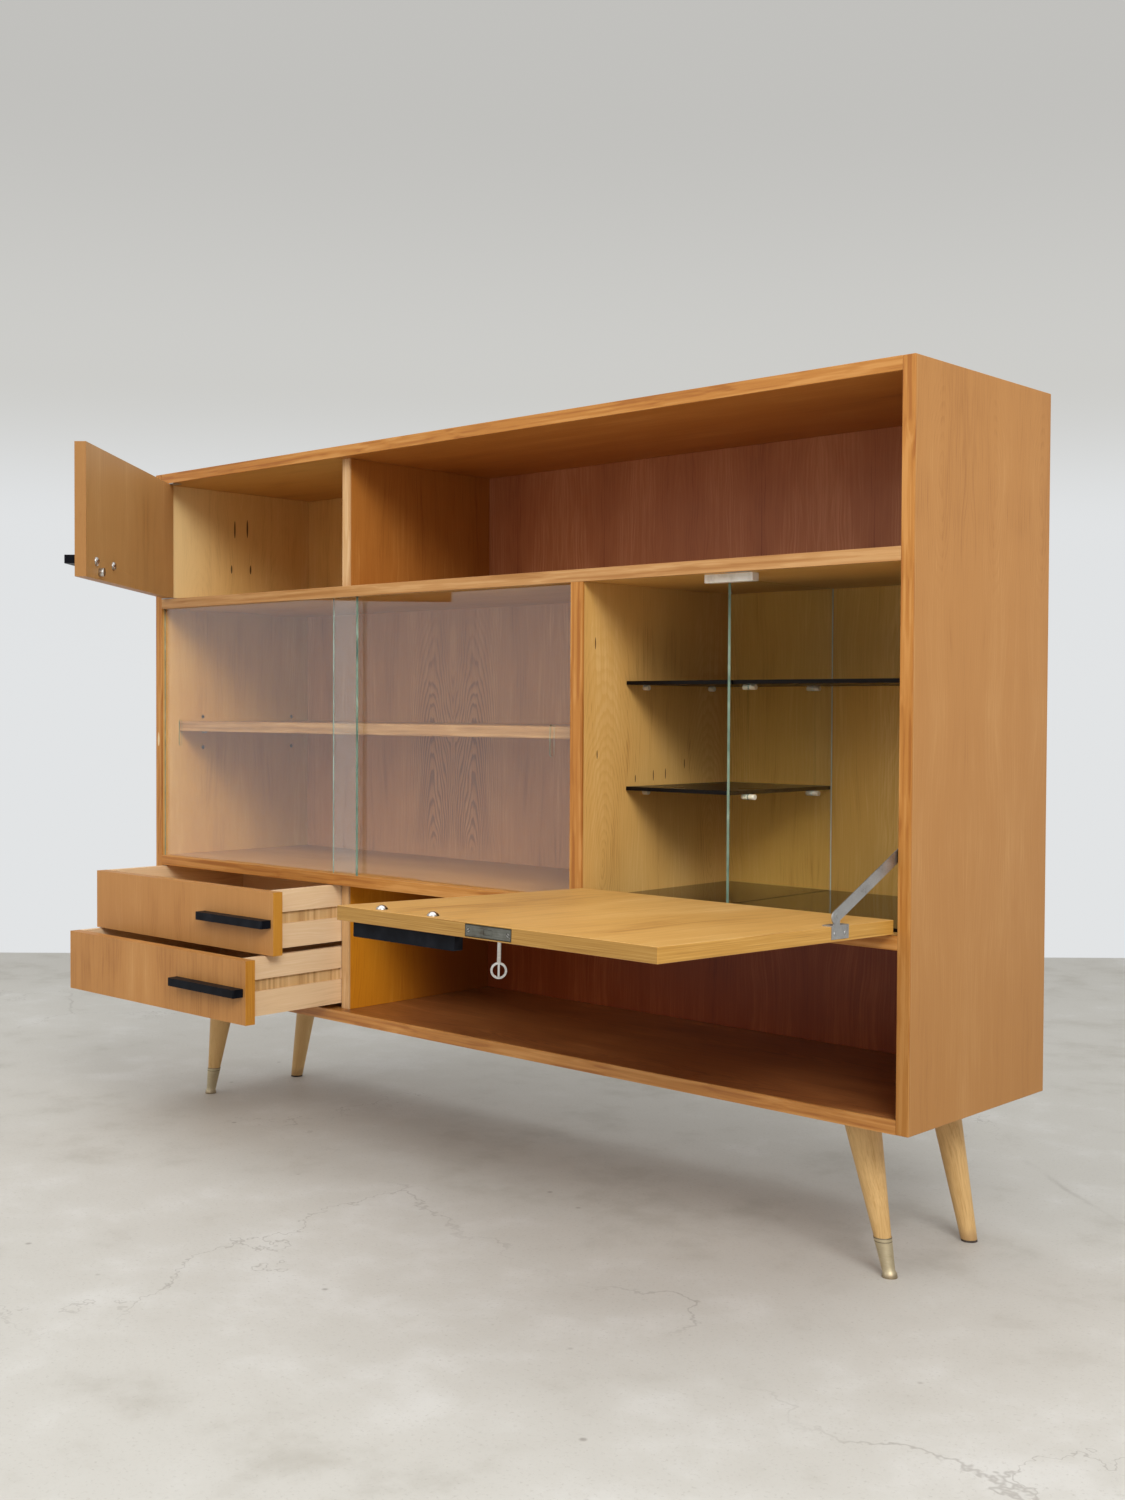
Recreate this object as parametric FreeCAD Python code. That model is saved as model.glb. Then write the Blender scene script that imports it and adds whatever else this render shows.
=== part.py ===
import FreeCAD, Part
import math
import os

Vector = FreeCAD.Vector
ALONG_X = Vector(1, 0, 0)
ALONG_Y = Vector(0, 1, 0)
ALONG_Z = Vector(0, 0, 1)

# Highboard with sliding glass, a drop-flap bar, two drawers and a small door.
# Millimetres, +X to the right, +Y to the back, +Z up. The front edges lie on y = 0 while the pieces are made.

# Carcass sizes
carcass_width = 1700.0
carcass_depth = 368.0
board = 19.0
bar_divider_board = 25.0
back_board = 5.0
drawer_bay_height = 220.0
main_bay_height = 482.0
upper_bay_height = 224.0
door_bay_width = 525.5
bar_bay_width = 549.0
divider_setback = 20.0
front_overlap = 21.0

# Leg sizes
leg_height = 216.0
leg_splay = 48.0
foot_inset_side = 72.5
foot_inset_face = 77.0
front_leg_top_radius = 26.0
front_leg_tip_radius = 7.0
rear_leg_top_radius = 23.0
rear_leg_tip_radius = 11.5
tenon_radius = 12.0
tenon_length = 14.0
tenon_clearance = 0.1
ferrule_height = 53.0
ferrule_wall = 0.9
ferrule_floor = 8.0
ferrule_clearance = 0.1
ferrule_flare_radius = 10.5
ferrule_flare_height = 4.0
sole_thickness = 3.0

# Sliding glass sizes
pane_thickness = 5.0
pane_overlap = 70.0
pane_end_gap = 0.5
pane_lift = 0.3
pane_upper_entry = 5.0
groove_clearance = 0.5
groove_front_lip = 6.0
groove_rib = 4.0
lower_groove_depth = 5.0
upper_groove_depth = 10.0
pull_width = 9.0
pull_height = 50.0
pull_depth = 1.5
pull_inset = 53.0

# Display shelf sizes
display_shelf_setback = 42.0
display_shelf_height = 243.5
display_shelf_side_gap = 1.0
pin_radius = 2.5
pin_hole_clearance = 0.05
pin_hole_depth = 9.0
pin_reach = 10.0
pin_hole_spacing = 30.5
pin_front = 99.5
pin_back = 320.5

# Bar glass sizes
bar_glass = 6.0
bar_floor_glass = 5.0
bar_floor_front = 30.0
bar_glass_front = 101.0
bar_glass_gap = 0.6
bar_back_gap = 1.0
partition_glass = 5.0
partition_front = 95.0
partition_offset = 201.0
bar_upper_shelf_height = 328.0
bar_lower_shelf_height = 164.5
peg_radius = 4.0
peg_reach = 10.0
peg_hole_clearance = 0.1
peg_front = 144.5
peg_back = 311.0

# Small door sizes
door_gap = 1.5
door_end_gap = 2.0
door_open_angle = 48.75
pivot_inset = 5.0
pivot_radius = 3.0
pivot_clearance = 0.05
pivot_length = 12.0
pivot_plate_thickness = 1.5
pivot_plate_reach = 40.0
catch_radius = 7.0
catch_length = 9.0
catch_inset = 70.0
catch_height = 12.5
catch_plate_length = 26.0
catch_plate_depth = 12.0
catch_plate_thickness = 1.5
catch_plate_gap = 1.0

# Handle sizes
handle_length = 190.0
handle_depth = 20.0
handle_height = 14.0
handle_corner = 2.5
handle_end_inset = 7.0
handle_screw_spacing = 96.0
handle_screw_radius = 2.0
handle_screw_clearance = 0.1
handle_screw_entry = 8.0
dome_radius = 8.0
dome_height = 5.5
door_handle_height = 29.0
flap_handle_inset = 16.5
flap_handle_end_inset = 22.5

# Drawer sizes
drawer_gap = 1.5
drawer_between_gap = 2.0
drawer_side = 12.0
drawer_back = 12.0
drawer_bottom = 4.0
drawer_side_clearance = 2.0
drawer_side_lift = 8.0
drawer_bottom_lift = 4.0
drawer_length = 322.0
upper_drawer_out = 144.9
lower_drawer_out = 201.6
runner_height = 19.4
runner_clearance = 0.3
runner_groove_depth = 6.0
runner_drop = 38.0
runner_front = 22.0
runner_length = 322.0

# Flap sizes
flap_side_gap = 4.5
flap_bottom_gap = 1.5
flap_top_gap = 4.5
flap_open_angle = 88.4
stop_block_length = 85.0
stop_block_depth = 15.0
stop_block_height = 12.0
stop_block_gap = 0.3
stop_block_offset = -16.5

# Flap hinge sizes
hinge_axis_forward = 1.0
hinge_axis_rise = 0.5
hinge_length = 60.0
hinge_inset = 60.0
hinge_knuckles = 5
hinge_knuckle_radius = 2.2
hinge_pin_radius = 1.2
hinge_pin_clearance = 0.06
hinge_knuckle_gap = 0.3
hinge_leaf_thickness = 0.6
hinge_leaf_reach = 17.0
hinge_leaf_setback = 2.0
hinge_notch_depth = 2.6
hinge_notch_rise = 1.9
hinge_notch_end_gap = 1.0

# Flap lock sizes
lock_plate_length = 78.0
lock_plate_width = 15.0
lock_plate_thickness = 2.0
lock_case_length = 52.0
lock_case_width = 12.0
lock_case_depth = 36.0
lock_clearance = 0.2
lock_backset = 20.0
lock_offset = 9.0
lock_wall = 1.5
lock_chamber_radius = 7.0
bolt_length = 14.0
bolt_width = 6.0
bolt_depth = 12.5
bolt_clearance = 0.3
bolt_travel = 8.0
strike_length = 40.0
strike_width = 13.0
strike_thickness = 1.2
strike_margin = 1.0

# Key sizes
key_shank_radius = 2.5
key_bore_clearance = 0.06
key_entry_clearance = 0.7
key_shank_out = 28.0
key_bow_radius = 10.0
key_bow_rim = 2.6
key_bow_thickness = 3.0
key_bow_bar = 2.4
key_bit_reach = 6.0
key_bit_thickness = 2.0
key_bit_length = 6.0
key_rest_turn = 40.0

# Stay sizes
stay_plate_length = 38.0
stay_plate_width = 16.0
stay_plate_start = 104.0
stay_plate_thickness = 1.5
stay_plate_clearance = 0.1
stay_flange_reach = 14.0
stay_ear_rise = 14.3
stay_ear_radius = 7.0
stay_rivet_place = 131.0
stay_rivet_radius = 2.5
stay_rivet_clearance = 0.05
stay_rivet_head_radius = 4.2
stay_rivet_head = 0.7
stay_side_clearance = 0.3
stay_arm_thickness = 1.5
stay_arm_width = 16.0
stay_arm_tail = 6.0
stay_arm_angle = 25.2
stay_rail_place = 80.0
stay_rail_width = 16.0
stay_rail_thickness = 2.0
stay_rail_end = 12.0
stay_rail_slot_clearance = 0.5
stay_pin_radius = 3.0
stay_pin_gap = 0.4

# Heights of the boards
bottom_low = leg_height
bottom_high = bottom_low + board
lower_low = bottom_high + drawer_bay_height
lower_high = lower_low + board
middle_low = lower_high + main_bay_height
middle_high = middle_low + board
top_low = middle_high + upper_bay_height
top_high = top_low + board

# Places of the walls
outer_right = carcass_width / 2
inner_right = outer_right - board
inner_left = -inner_right
divider_left = inner_left + door_bay_width
divider_right = divider_left + board
bar_left = inner_right - bar_bay_width
bar_divider_left = bar_left - bar_divider_board
bar_middle = (bar_left + inner_right) / 2
lock_middle = bar_middle + lock_offset
back_front = carcass_depth - back_board


def block(x0, x1, y0, y1, z0, z1):
    """A box between two corners."""
    return Part.makeBox(x1 - x0, y1 - y0, z1 - z0, Vector(x0, y0, z0))


def rod(radius, length, start, along):
    """A round bar from start along a direction."""
    return Part.makeCylinder(radius, length, start, along)


def group(solids):
    """Separate solids kept together as one node."""
    return Part.makeCompound(solids)


def turned(shape, base, axis, angle):
    """A copy of a shape turned about an axis."""
    copy = shape.copy()
    copy.rotate(base, axis, angle)
    return copy


def moved(shape, offset):
    """A copy of a shape shifted by a vector."""
    copy = shape.copy()
    copy.translate(offset)
    return copy


def runs_along(edge, direction):
    """True for a straight edge parallel to a direction."""
    first, last = edge.Vertexes[0].Point, edge.Vertexes[-1].Point
    span = last - first
    return span.Length > 0 and abs(span.normalize().dot(direction)) > 1 - 1e-6


# Groove places shared by the two shelves and the panes
groove_width = pane_thickness + 2 * groove_clearance
front_groove = groove_front_lip
rear_groove = front_groove + groove_width + groove_rib


def grooves(z0, z1):
    """The pair of glass grooves between two heights."""
    return [block(inner_left, bar_divider_left, y, y + groove_width, z0, z1)
            for y in (front_groove, rear_groove)]


def pin_hole_heights():
    """Heights of the shelf-pin holes; the middle one carries the shelf."""
    carrying = lower_high + display_shelf_height - pin_radius
    return [carrying + step * pin_hole_spacing for step in (-1, 0, 1)]


def pin_holes(wall_face, into):
    """Two columns of blind holes in a wall of the display bay."""
    radius = pin_radius + pin_hole_clearance
    return [rod(radius, pin_hole_depth, Vector(wall_face, y, z), into)
            for y in (pin_front, pin_back) for z in pin_hole_heights()]


# Flap places while it is closed
flap_left = bar_left + flap_side_gap
flap_right = inner_right - flap_side_gap
flap_low = lower_high + flap_bottom_gap
flap_high = middle_low - flap_top_gap
flap_axis_y = -hinge_axis_forward
flap_axis_z = lower_high + hinge_axis_rise
flap_axis_point = Vector(0, flap_axis_y, flap_axis_z)
hinge_starts = [flap_left + hinge_inset, flap_right - hinge_inset - hinge_length]


def opened_flap(shape):
    """A shape made on the closed flap, swung down with it."""
    return turned(shape, flap_axis_point, ALONG_X, flap_open_angle)


def hinge_notches(z0, z1):
    """Room for the hinge knuckles in a front corner."""
    gap = hinge_notch_end_gap
    return [block(start - gap, start + hinge_length + gap, -hinge_notch_depth, hinge_notch_depth, z0, z1)
            for start in hinge_starts]


def make_sides():
    """The two outer sides, full height."""
    left = block(-outer_right, inner_left, 0, carcass_depth, bottom_low, top_high)
    right = block(inner_right, outer_right, 0, carcass_depth, bottom_low, top_high)
    left = left.cut(pin_holes(inner_left, -ALONG_X))
    return {"left_side": left, "right_side": right}


def make_boards():
    """The four long boards between the sides."""
    def plain(z0, depth):
        return block(inner_left, inner_right, 0, depth, z0, z0 + board)

    bottom = plain(bottom_low, carcass_depth)
    bottom = bottom.cut([tenon(side, y, tenon_clearance) for side in (-1, 1) for y in leg_places])
    lower = plain(lower_low, back_front)
    lower = lower.cut(grooves(lower_high - lower_groove_depth, lower_high))
    lower = lower.cut(hinge_notches(lower_high - hinge_notch_rise, lower_high))
    middle = plain(middle_low, back_front)
    middle = middle.cut(grooves(middle_low, middle_low + upper_groove_depth))
    middle = middle.cut([strike_outline(), bolt_opening(middle_low, middle_low + bolt_travel)])
    return {"bottom_board": bottom, "lower_shelf": lower, "middle_shelf": middle,
            "top_board": plain(top_low, carcass_depth)}


def make_dividers():
    """The three uprights and the back."""
    bar_divider = block(bar_divider_left, bar_left, 0, back_front, lower_high, middle_low)
    bar_divider = bar_divider.cut(pin_holes(bar_divider_left, ALONG_X))
    upright = (divider_left, divider_right, divider_setback, back_front)
    return {
        "upper_divider": block(*upright, middle_high, top_low),
        "bar_divider": bar_divider,
        "drawer_divider": block(*upright, bottom_high, lower_low),
        "back_panel": block(inner_left, inner_right, back_front, carcass_depth, bottom_high, top_low),
    }


# Legs lean outwards to the sides
leg_places = (foot_inset_face, carcass_depth - foot_inset_face)
foot_x = outer_right - foot_inset_side
leg_length = math.hypot(leg_splay, leg_height)


def leg_direction(side):
    """Unit vector from the foot to the top of a leg."""
    return Vector(-side * leg_splay, 0, leg_height).normalize()


def tenon(side, y, extra):
    """The round tenon at a leg's top, or its hole with a clearance."""
    top = Vector(side * (foot_x - leg_splay), y, leg_height)
    along = leg_direction(side)
    long_rod = rod(tenon_radius + extra, tenon_length + 2 * tenon_radius, top - along * tenon_radius, along)
    span = tenon_radius + leg_splay
    return long_rod.common(block(top.x - span, top.x + span, y - span, y + span,
                                 leg_height, leg_height + tenon_length + extra))


def taper(side, y, tip_radius, top_radius, z0, z1):
    """A leg's tapered body between two heights."""
    along = leg_direction(side)
    slope = (top_radius - tip_radius) / leg_length
    spare = top_radius / 2
    foot = Vector(side * foot_x, y, 0) - along * spare
    cone = Part.makeCone(tip_radius - slope * spare, top_radius + slope * spare,
                         leg_length + 2 * spare, foot, along)
    span = foot_inset_side + leg_splay + top_radius
    return cone.common(block(side * foot_x - span, side * foot_x + span, y - span, y + span, z0, z1))


def make_ferrule(side, y):
    """A metal cup with a flared foot around a front leg's tip."""
    along = leg_direction(side)
    slope = (front_leg_top_radius - front_leg_tip_radius) / leg_length
    neck = 2 * ferrule_flare_height
    neck_radius = front_leg_tip_radius + slope * neck + ferrule_wall
    rim = ferrule_height + ferrule_floor
    rim_radius = front_leg_tip_radius + slope * rim + ferrule_wall
    points = [Vector(0, 0, -neck), Vector(ferrule_flare_radius, 0, -neck),
              Vector(ferrule_flare_radius, 0, ferrule_flare_height), Vector(neck_radius, 0, neck),
              Vector(rim_radius, 0, rim), Vector(0, 0, rim)]
    cup = Part.Face(Part.makePolygon(points + points[:1])).revolve(Vector(), ALONG_Z, 360)
    cup.Placement = FreeCAD.Placement(Vector(side * foot_x, y, 0), FreeCAD.Rotation(ALONG_Z, along))
    span = foot_inset_side
    cup = cup.common(block(side * foot_x - span, side * foot_x + span, y - span, y + span, 0, ferrule_height))
    room = taper(side, y, front_leg_tip_radius + ferrule_clearance, front_leg_top_radius + ferrule_clearance,
                 ferrule_floor, leg_height)
    return cup.cut(room)


def make_legs():
    """Four turned legs, the front pair in ferrules and the rear pair on soles."""
    front_y, rear_y = leg_places
    nodes = {}
    for name, side in (("left", -1), ("right", 1)):
        front = taper(side, front_y, front_leg_tip_radius, front_leg_top_radius, ferrule_floor, leg_height)
        rear = taper(side, rear_y, rear_leg_tip_radius, rear_leg_top_radius, sole_thickness, leg_height)
        nodes[f"front_{name}_leg"] = front.fuse(tenon(side, front_y, 0)).removeSplitter()
        nodes[f"rear_{name}_leg"] = rear.fuse(tenon(side, rear_y, 0)).removeSplitter()
    nodes["front_ferrules"] = group([make_ferrule(side, front_y) for side in (-1, 1)])
    soles = [taper(side, rear_y, rear_leg_tip_radius, rear_leg_top_radius, 0, sole_thickness)
             for side in (-1, 1)]
    nodes["rear_leg_soles"] = group(soles)
    return nodes


def make_display_shelf():
    """The wooden shelf behind the glass, with its pins."""
    z0 = lower_high + display_shelf_height
    gap = display_shelf_side_gap
    shelf = block(inner_left + gap, bar_divider_left - gap, display_shelf_setback, back_front, z0, z0 + board)
    length = pin_hole_depth + pin_reach
    pins = []
    for y in (pin_front, pin_back):
        height = z0 - pin_radius
        pins.append(rod(pin_radius, length, Vector(inner_left - pin_hole_depth, y, height), ALONG_X))
        pins.append(rod(pin_radius, length, Vector(bar_divider_left - pin_reach, y, height), ALONG_X))
    return {"display_shelf": shelf, "display_shelf_pins": group(pins)}


# Bar places
partition_left = bar_left + partition_offset
partition_right = partition_left + partition_glass
bar_glass_back = back_front - bar_back_gap
bar_upper_shelf = lower_high + bar_upper_shelf_height
bar_lower_shelf = lower_high + bar_lower_shelf_height


def make_bar_glass():
    """Black glass floor and shelves and the clear upright pane."""
    gap = bar_glass_gap
    left_bay = (bar_left + gap, partition_left - gap)
    right_bay = (partition_right + gap, inner_right - gap)
    floor = (bar_floor_front, bar_glass_back, lower_high, lower_high + bar_floor_glass)
    upper = (bar_glass_front, bar_glass_back, bar_upper_shelf, bar_upper_shelf + bar_glass)
    lower = (bar_glass_front, bar_glass_back, bar_lower_shelf, bar_lower_shelf + bar_glass)
    partition = block(partition_left, partition_right, partition_front, bar_glass_back,
                      lower_high, middle_low)
    pegs = []
    for shelf in (bar_upper_shelf, bar_lower_shelf):
        z = shelf - peg_radius
        for y in (peg_front, peg_back):
            hole_start = Vector(partition_left, y, z)
            hole = rod(peg_radius + peg_hole_clearance, partition_glass, hole_start, ALONG_X)
            partition = partition.cut(hole)
            through = partition_glass + 2 * peg_reach
            pegs.append(rod(peg_radius, through, hole_start - ALONG_X * peg_reach, ALONG_X))
            pegs.append(rod(peg_radius, peg_reach, Vector(bar_left, y, z), ALONG_X))
    for y in (peg_front, peg_back):
        place = Vector(inner_right - peg_reach, y, bar_upper_shelf - peg_radius)
        pegs.append(rod(peg_radius, peg_reach, place, ALONG_X))
    return {
        "bar_floor_left": block(*left_bay, *floor),
        "bar_floor_right": block(*right_bay, *floor),
        "bar_partition": partition,
        "bar_shelf_upper_left": block(*left_bay, *upper),
        "bar_shelf_upper_right": block(*right_bay, *upper),
        "bar_shelf_lower": block(*left_bay, *lower),
        "bar_shelf_pegs": group(pegs),
    }


# Pane places
display_bay_width = bar_divider_left - inner_left
pane_width = (display_bay_width + pane_overlap) / 2


def make_pane(x0, pull_x, groove):
    """One glass pane standing in a groove, with its ground finger pull."""
    y0 = groove + groove_clearance
    pane = block(x0, x0 + pane_width, y0, y0 + pane_thickness,
                 lower_high - lower_groove_depth + pane_lift, middle_low + pane_upper_entry)
    middle = lower_high + main_bay_height / 2
    straight = (pull_height - pull_width) / 2
    half = pull_width / 2
    pull = block(pull_x - half, pull_x + half, y0, y0 + pull_depth, middle - straight, middle + straight)
    for z in (middle - straight, middle + straight):
        pull = pull.fuse(rod(half, pull_depth, Vector(pull_x, y0, z), ALONG_Y))
    return pane.cut(pull)


def make_glass():
    """The two sliding panes, the left one in the front groove."""
    left_x = inner_left + pane_end_gap
    right_x = bar_divider_left - pane_end_gap - pane_width
    return {"glass_left": make_pane(left_x, left_x + pull_inset, front_groove),
            "glass_right": make_pane(right_x, right_x + pane_width - pull_inset, rear_groove)}


def handle_screw_places(middle):
    """The two screw places along a handle."""
    return (middle - handle_screw_spacing / 2, middle + handle_screw_spacing / 2)


def make_handle(middle, z, stud_length):
    """A bar handle with rounded outer corners on a front, on studs if it has no screws."""
    half, rise = handle_length / 2, handle_height / 2
    bar = block(middle - half, middle + half, -handle_depth, 0, z - rise, z + rise)
    outer = [edge for edge in bar.Edges
             if runs_along(edge, ALONG_Z) and edge.Vertexes[0].Y < -handle_depth / 2]
    bar = bar.makeFillet(handle_corner, outer)
    for x in handle_screw_places(middle):
        if stud_length:
            bar = bar.fuse(rod(handle_screw_radius, stud_length, Vector(x, 0, z), ALONG_Y))
        else:
            entry = handle_screw_entry + handle_screw_clearance
            radius = handle_screw_radius + handle_screw_clearance
            bar = bar.cut(rod(radius, entry, Vector(x, -entry, z), ALONG_Y))
    return bar


def make_handle_screws(middle, z):
    """Two domed screws from the inner face into a handle."""
    ball = (dome_radius ** 2 + dome_height ** 2) / (2 * dome_height)
    screws = []
    for x in handle_screw_places(middle):
        dome = Part.makeSphere(ball, Vector(x, board + dome_height - ball, z))
        dome = dome.common(rod(dome_radius, dome_height, Vector(x, board, z), ALONG_Y))
        shank_start = Vector(x, -handle_screw_entry, z)
        shank = rod(handle_screw_radius, board + handle_screw_entry, shank_start, ALONG_Y)
        screws.append(dome.fuse(shank).removeSplitter())
    return group(screws)


def handle_holes(middle, z, length):
    """Holes for a handle's screws or studs through a front."""
    radius = handle_screw_radius + handle_screw_clearance
    return [rod(radius, length, Vector(x, 0, z), ALONG_Y) for x in handle_screw_places(middle)]


# Small door places while it is closed
door_left = inner_left + door_gap
door_right = divider_left + front_overlap
door_low = middle_high + door_end_gap
door_high = top_low - door_end_gap
door_axis_x = door_left + pivot_inset
door_axis_point = Vector(door_axis_x, pivot_inset, 0)
door_handle_middle = door_right - handle_end_inset - handle_length / 2


def opened_door(shape):
    """A shape made on the closed door, swung open with it."""
    return turned(shape, door_axis_point, -ALONG_Z, door_open_angle)


def make_door():
    """The small inset door with its handle and catch, and its pivots on the carcass."""
    handle_z = door_low + door_handle_height
    panel = block(door_left, door_right, 0, board, door_low, door_high)
    corner = [edge for edge in panel.Edges if runs_along(edge, ALONG_Z)
              and edge.Vertexes[0].X < door_axis_x and edge.Vertexes[0].Y < pivot_inset]
    panel = panel.makeFillet(pivot_inset, corner)
    panel = panel.cut(handle_holes(door_handle_middle, handle_z, board))
    bore = pivot_radius + pivot_clearance
    for start in (door_low, door_high - pivot_length):
        panel = panel.cut(rod(bore, pivot_length, Vector(door_axis_x, pivot_inset, start), ALONG_Z))
    catch_x = door_right - catch_inset
    catch = rod(catch_radius, catch_length, Vector(catch_x, board, door_low + catch_height), ALONG_Y)
    pivots = []
    for face, up in ((middle_high, 1), (top_low, -1)):
        ends = sorted((face, face + up * pivot_plate_thickness))
        plate = block(inner_left, inner_left + pivot_plate_reach, 0, board, *ends)
        length = door_end_gap + pivot_length - pivot_clearance
        pin = rod(pivot_radius, length, Vector(door_axis_x, pivot_inset, face), ALONG_Z * up)
        pivots.append(plate.fuse(pin).removeSplitter())
    plate_front = board + catch_length + catch_plate_gap
    half = catch_plate_length / 2
    catch_plate = block(catch_x - half, catch_x + half, plate_front, plate_front + catch_plate_depth,
                        middle_high, middle_high + catch_plate_thickness)
    on_door = {
        "upper_door": panel,
        "door_handle": make_handle(door_handle_middle, handle_z, 0),
        "door_handle_screws": make_handle_screws(door_handle_middle, handle_z),
        "door_catch_stud": catch,
    }
    nodes = {name: opened_door(shape) for name, shape in on_door.items()}
    nodes["door_pivots"] = group(pivots)
    nodes["door_catch_plate"] = catch_plate
    return nodes


# Drawer places while they are closed
drawer_front_left = inner_left + drawer_gap
drawer_front_right = divider_left + front_overlap
drawer_box_left = inner_left + drawer_side_clearance
drawer_box_right = divider_left - drawer_side_clearance
drawer_front_height = (drawer_bay_height - 2 * drawer_gap - drawer_between_gap) / 2
lower_drawer_low = bottom_high + drawer_gap
upper_drawer_low = lower_drawer_low + drawer_front_height + drawer_between_gap
drawer_handle_middle = drawer_front_right - handle_end_inset - handle_length / 2


def runner_low(drawer_low):
    """Height of a runner's underside."""
    return drawer_low + drawer_front_height - runner_drop - runner_height


def make_drawer(name, drawer_low, out):
    """A drawer of five boards with grooved sides, pulled out as far as it stands."""
    drawer_high = drawer_low + drawer_front_height
    handle_z = (drawer_low + drawer_high) / 2
    side_low = drawer_low + drawer_side_lift
    back_y = board + drawer_length
    stud = board / 2
    front = block(drawer_front_left, drawer_front_right, 0, board, drawer_low, drawer_high)
    front = front.cut(handle_holes(drawer_handle_middle, handle_z, stud))
    groove_low = runner_low(drawer_low) - runner_clearance
    groove_high = groove_low + runner_height + 2 * runner_clearance
    inside_left = drawer_box_left + drawer_side
    inside_right = drawer_box_right - drawer_side
    left = block(drawer_box_left, inside_left, board, back_y, side_low, drawer_high)
    left = left.cut(block(drawer_box_left, drawer_box_left + runner_groove_depth, board, back_y,
                          groove_low, groove_high))
    right = block(inside_right, drawer_box_right, board, back_y, side_low, drawer_high)
    right = right.cut(block(drawer_box_right - runner_groove_depth, drawer_box_right, board, back_y,
                            groove_low, groove_high))
    floor_low = side_low + drawer_bottom_lift
    bottom = block(inside_left, inside_right, board, back_y - drawer_back,
                   floor_low, floor_low + drawer_bottom)
    back = block(inside_left, inside_right, back_y - drawer_back, back_y, floor_low, drawer_high)
    pieces = {"front": front, "left_side": left, "right_side": right, "back": back, "bottom": bottom,
              "handle": make_handle(drawer_handle_middle, handle_z, stud)}
    offset = Vector(0, -out, 0)
    return {f"{name}_drawer_{piece}": moved(shape, offset) for piece, shape in pieces.items()}


def make_runners():
    """Four wooden strips on the walls of the drawer bay."""
    reach = drawer_side_clearance + runner_groove_depth - runner_clearance
    strips = []
    for low in (runner_low(upper_drawer_low), runner_low(lower_drawer_low)):
        ends = (runner_front, runner_front + runner_length, low, low + runner_height)
        strips.append(block(inner_left, inner_left + reach, *ends))
        strips.append(block(divider_left - reach, divider_left, *ends))
    return {"drawer_runners": group(strips)}


def make_hinge_leaf(start, own_first, z0, z1, bored):
    """One hinge leaf with every second knuckle; own_first says which knuckles are its own."""
    pitch = hinge_length / hinge_knuckles
    leaf = block(start, start + hinge_length, hinge_leaf_setback, hinge_leaf_reach, z0, z1)
    for index in range(hinge_knuckles):
        if (index % 2 == 0) != own_first:
            continue
        x0 = start + index * pitch + hinge_knuckle_gap / 2
        length = pitch - hinge_knuckle_gap
        place = Vector(x0, flap_axis_y, flap_axis_z)
        tab = block(x0, x0 + length, flap_axis_y, hinge_leaf_setback, z0, z1)
        leaf = leaf.fuse([rod(hinge_knuckle_radius, length, place, ALONG_X), tab])
    pin_start = Vector(start, flap_axis_y, flap_axis_z)
    if bored:
        bore = rod(hinge_pin_radius + hinge_pin_clearance, hinge_length, pin_start, ALONG_X)
        return leaf.cut(bore).removeSplitter()
    inset = hinge_knuckle_gap / 2
    pin = rod(hinge_pin_radius, hinge_length - 2 * inset, pin_start + ALONG_X * inset, ALONG_X)
    return leaf.fuse(pin).removeSplitter()


def strike_outline():
    """The strike plate's body under the middle shelf."""
    half = strike_length / 2
    y0 = board / 2 - strike_width / 2
    return block(lock_middle - half, lock_middle + half, y0, y0 + strike_width,
                 middle_low, middle_low + strike_thickness)


def bolt_opening(z0, z1):
    """Room around the thrown bolt between two heights."""
    half_length = bolt_length / 2 + strike_margin
    half_width = bolt_width / 2 + strike_margin
    return block(lock_middle - half_length, lock_middle + half_length,
                 board / 2 - half_width, board / 2 + half_width, z0, z1)


# Lock and key places on the closed flap
key_z = flap_high - lock_backset
lock_case_front = (board - lock_case_width) / 2


def lock_body(extra):
    """The lock's plate and case, or the mortise for them with a clearance."""
    half_plate = lock_plate_length / 2 + extra
    half_case = lock_case_length / 2 + extra
    plate_y = (board - lock_plate_width) / 2 - extra
    plate = block(lock_middle - half_plate, lock_middle + half_plate, plate_y, board - plate_y,
                  flap_high - lock_plate_thickness - extra, flap_high)
    case = block(lock_middle - half_case, lock_middle + half_case, lock_case_front - extra,
                 lock_case_front + lock_case_width + extra,
                 flap_high - lock_plate_thickness - lock_case_depth - extra, flap_high - lock_plate_thickness)
    return plate.fuse(case).removeSplitter()


def make_lock():
    """The mortise lock, its bolt and its strike."""
    half_length = bolt_length / 2
    y0 = (board - bolt_width) / 2
    bolt = block(lock_middle - half_length, lock_middle + half_length, y0, y0 + bolt_width,
                 flap_high - bolt_depth, flap_high)
    gap = bolt_clearance
    channel = block(lock_middle - half_length - gap, lock_middle + half_length + gap,
                    y0 - gap, y0 + bolt_width + gap, flap_high - bolt_depth - gap, flap_high)
    chamber = rod(lock_chamber_radius, lock_case_width - 2 * lock_wall,
                  Vector(lock_middle, lock_case_front + lock_wall, key_z), ALONG_Y)
    keyhole_start = Vector(lock_middle, lock_case_front, key_z)
    keyhole = rod(key_shank_radius + key_bore_clearance, lock_wall, keyhole_start, ALONG_Y)
    lock = lock_body(0).cut([channel, chamber, keyhole])
    strike = strike_outline().cut(bolt_opening(middle_low, middle_low + strike_thickness))
    return lock, bolt, strike


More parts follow.
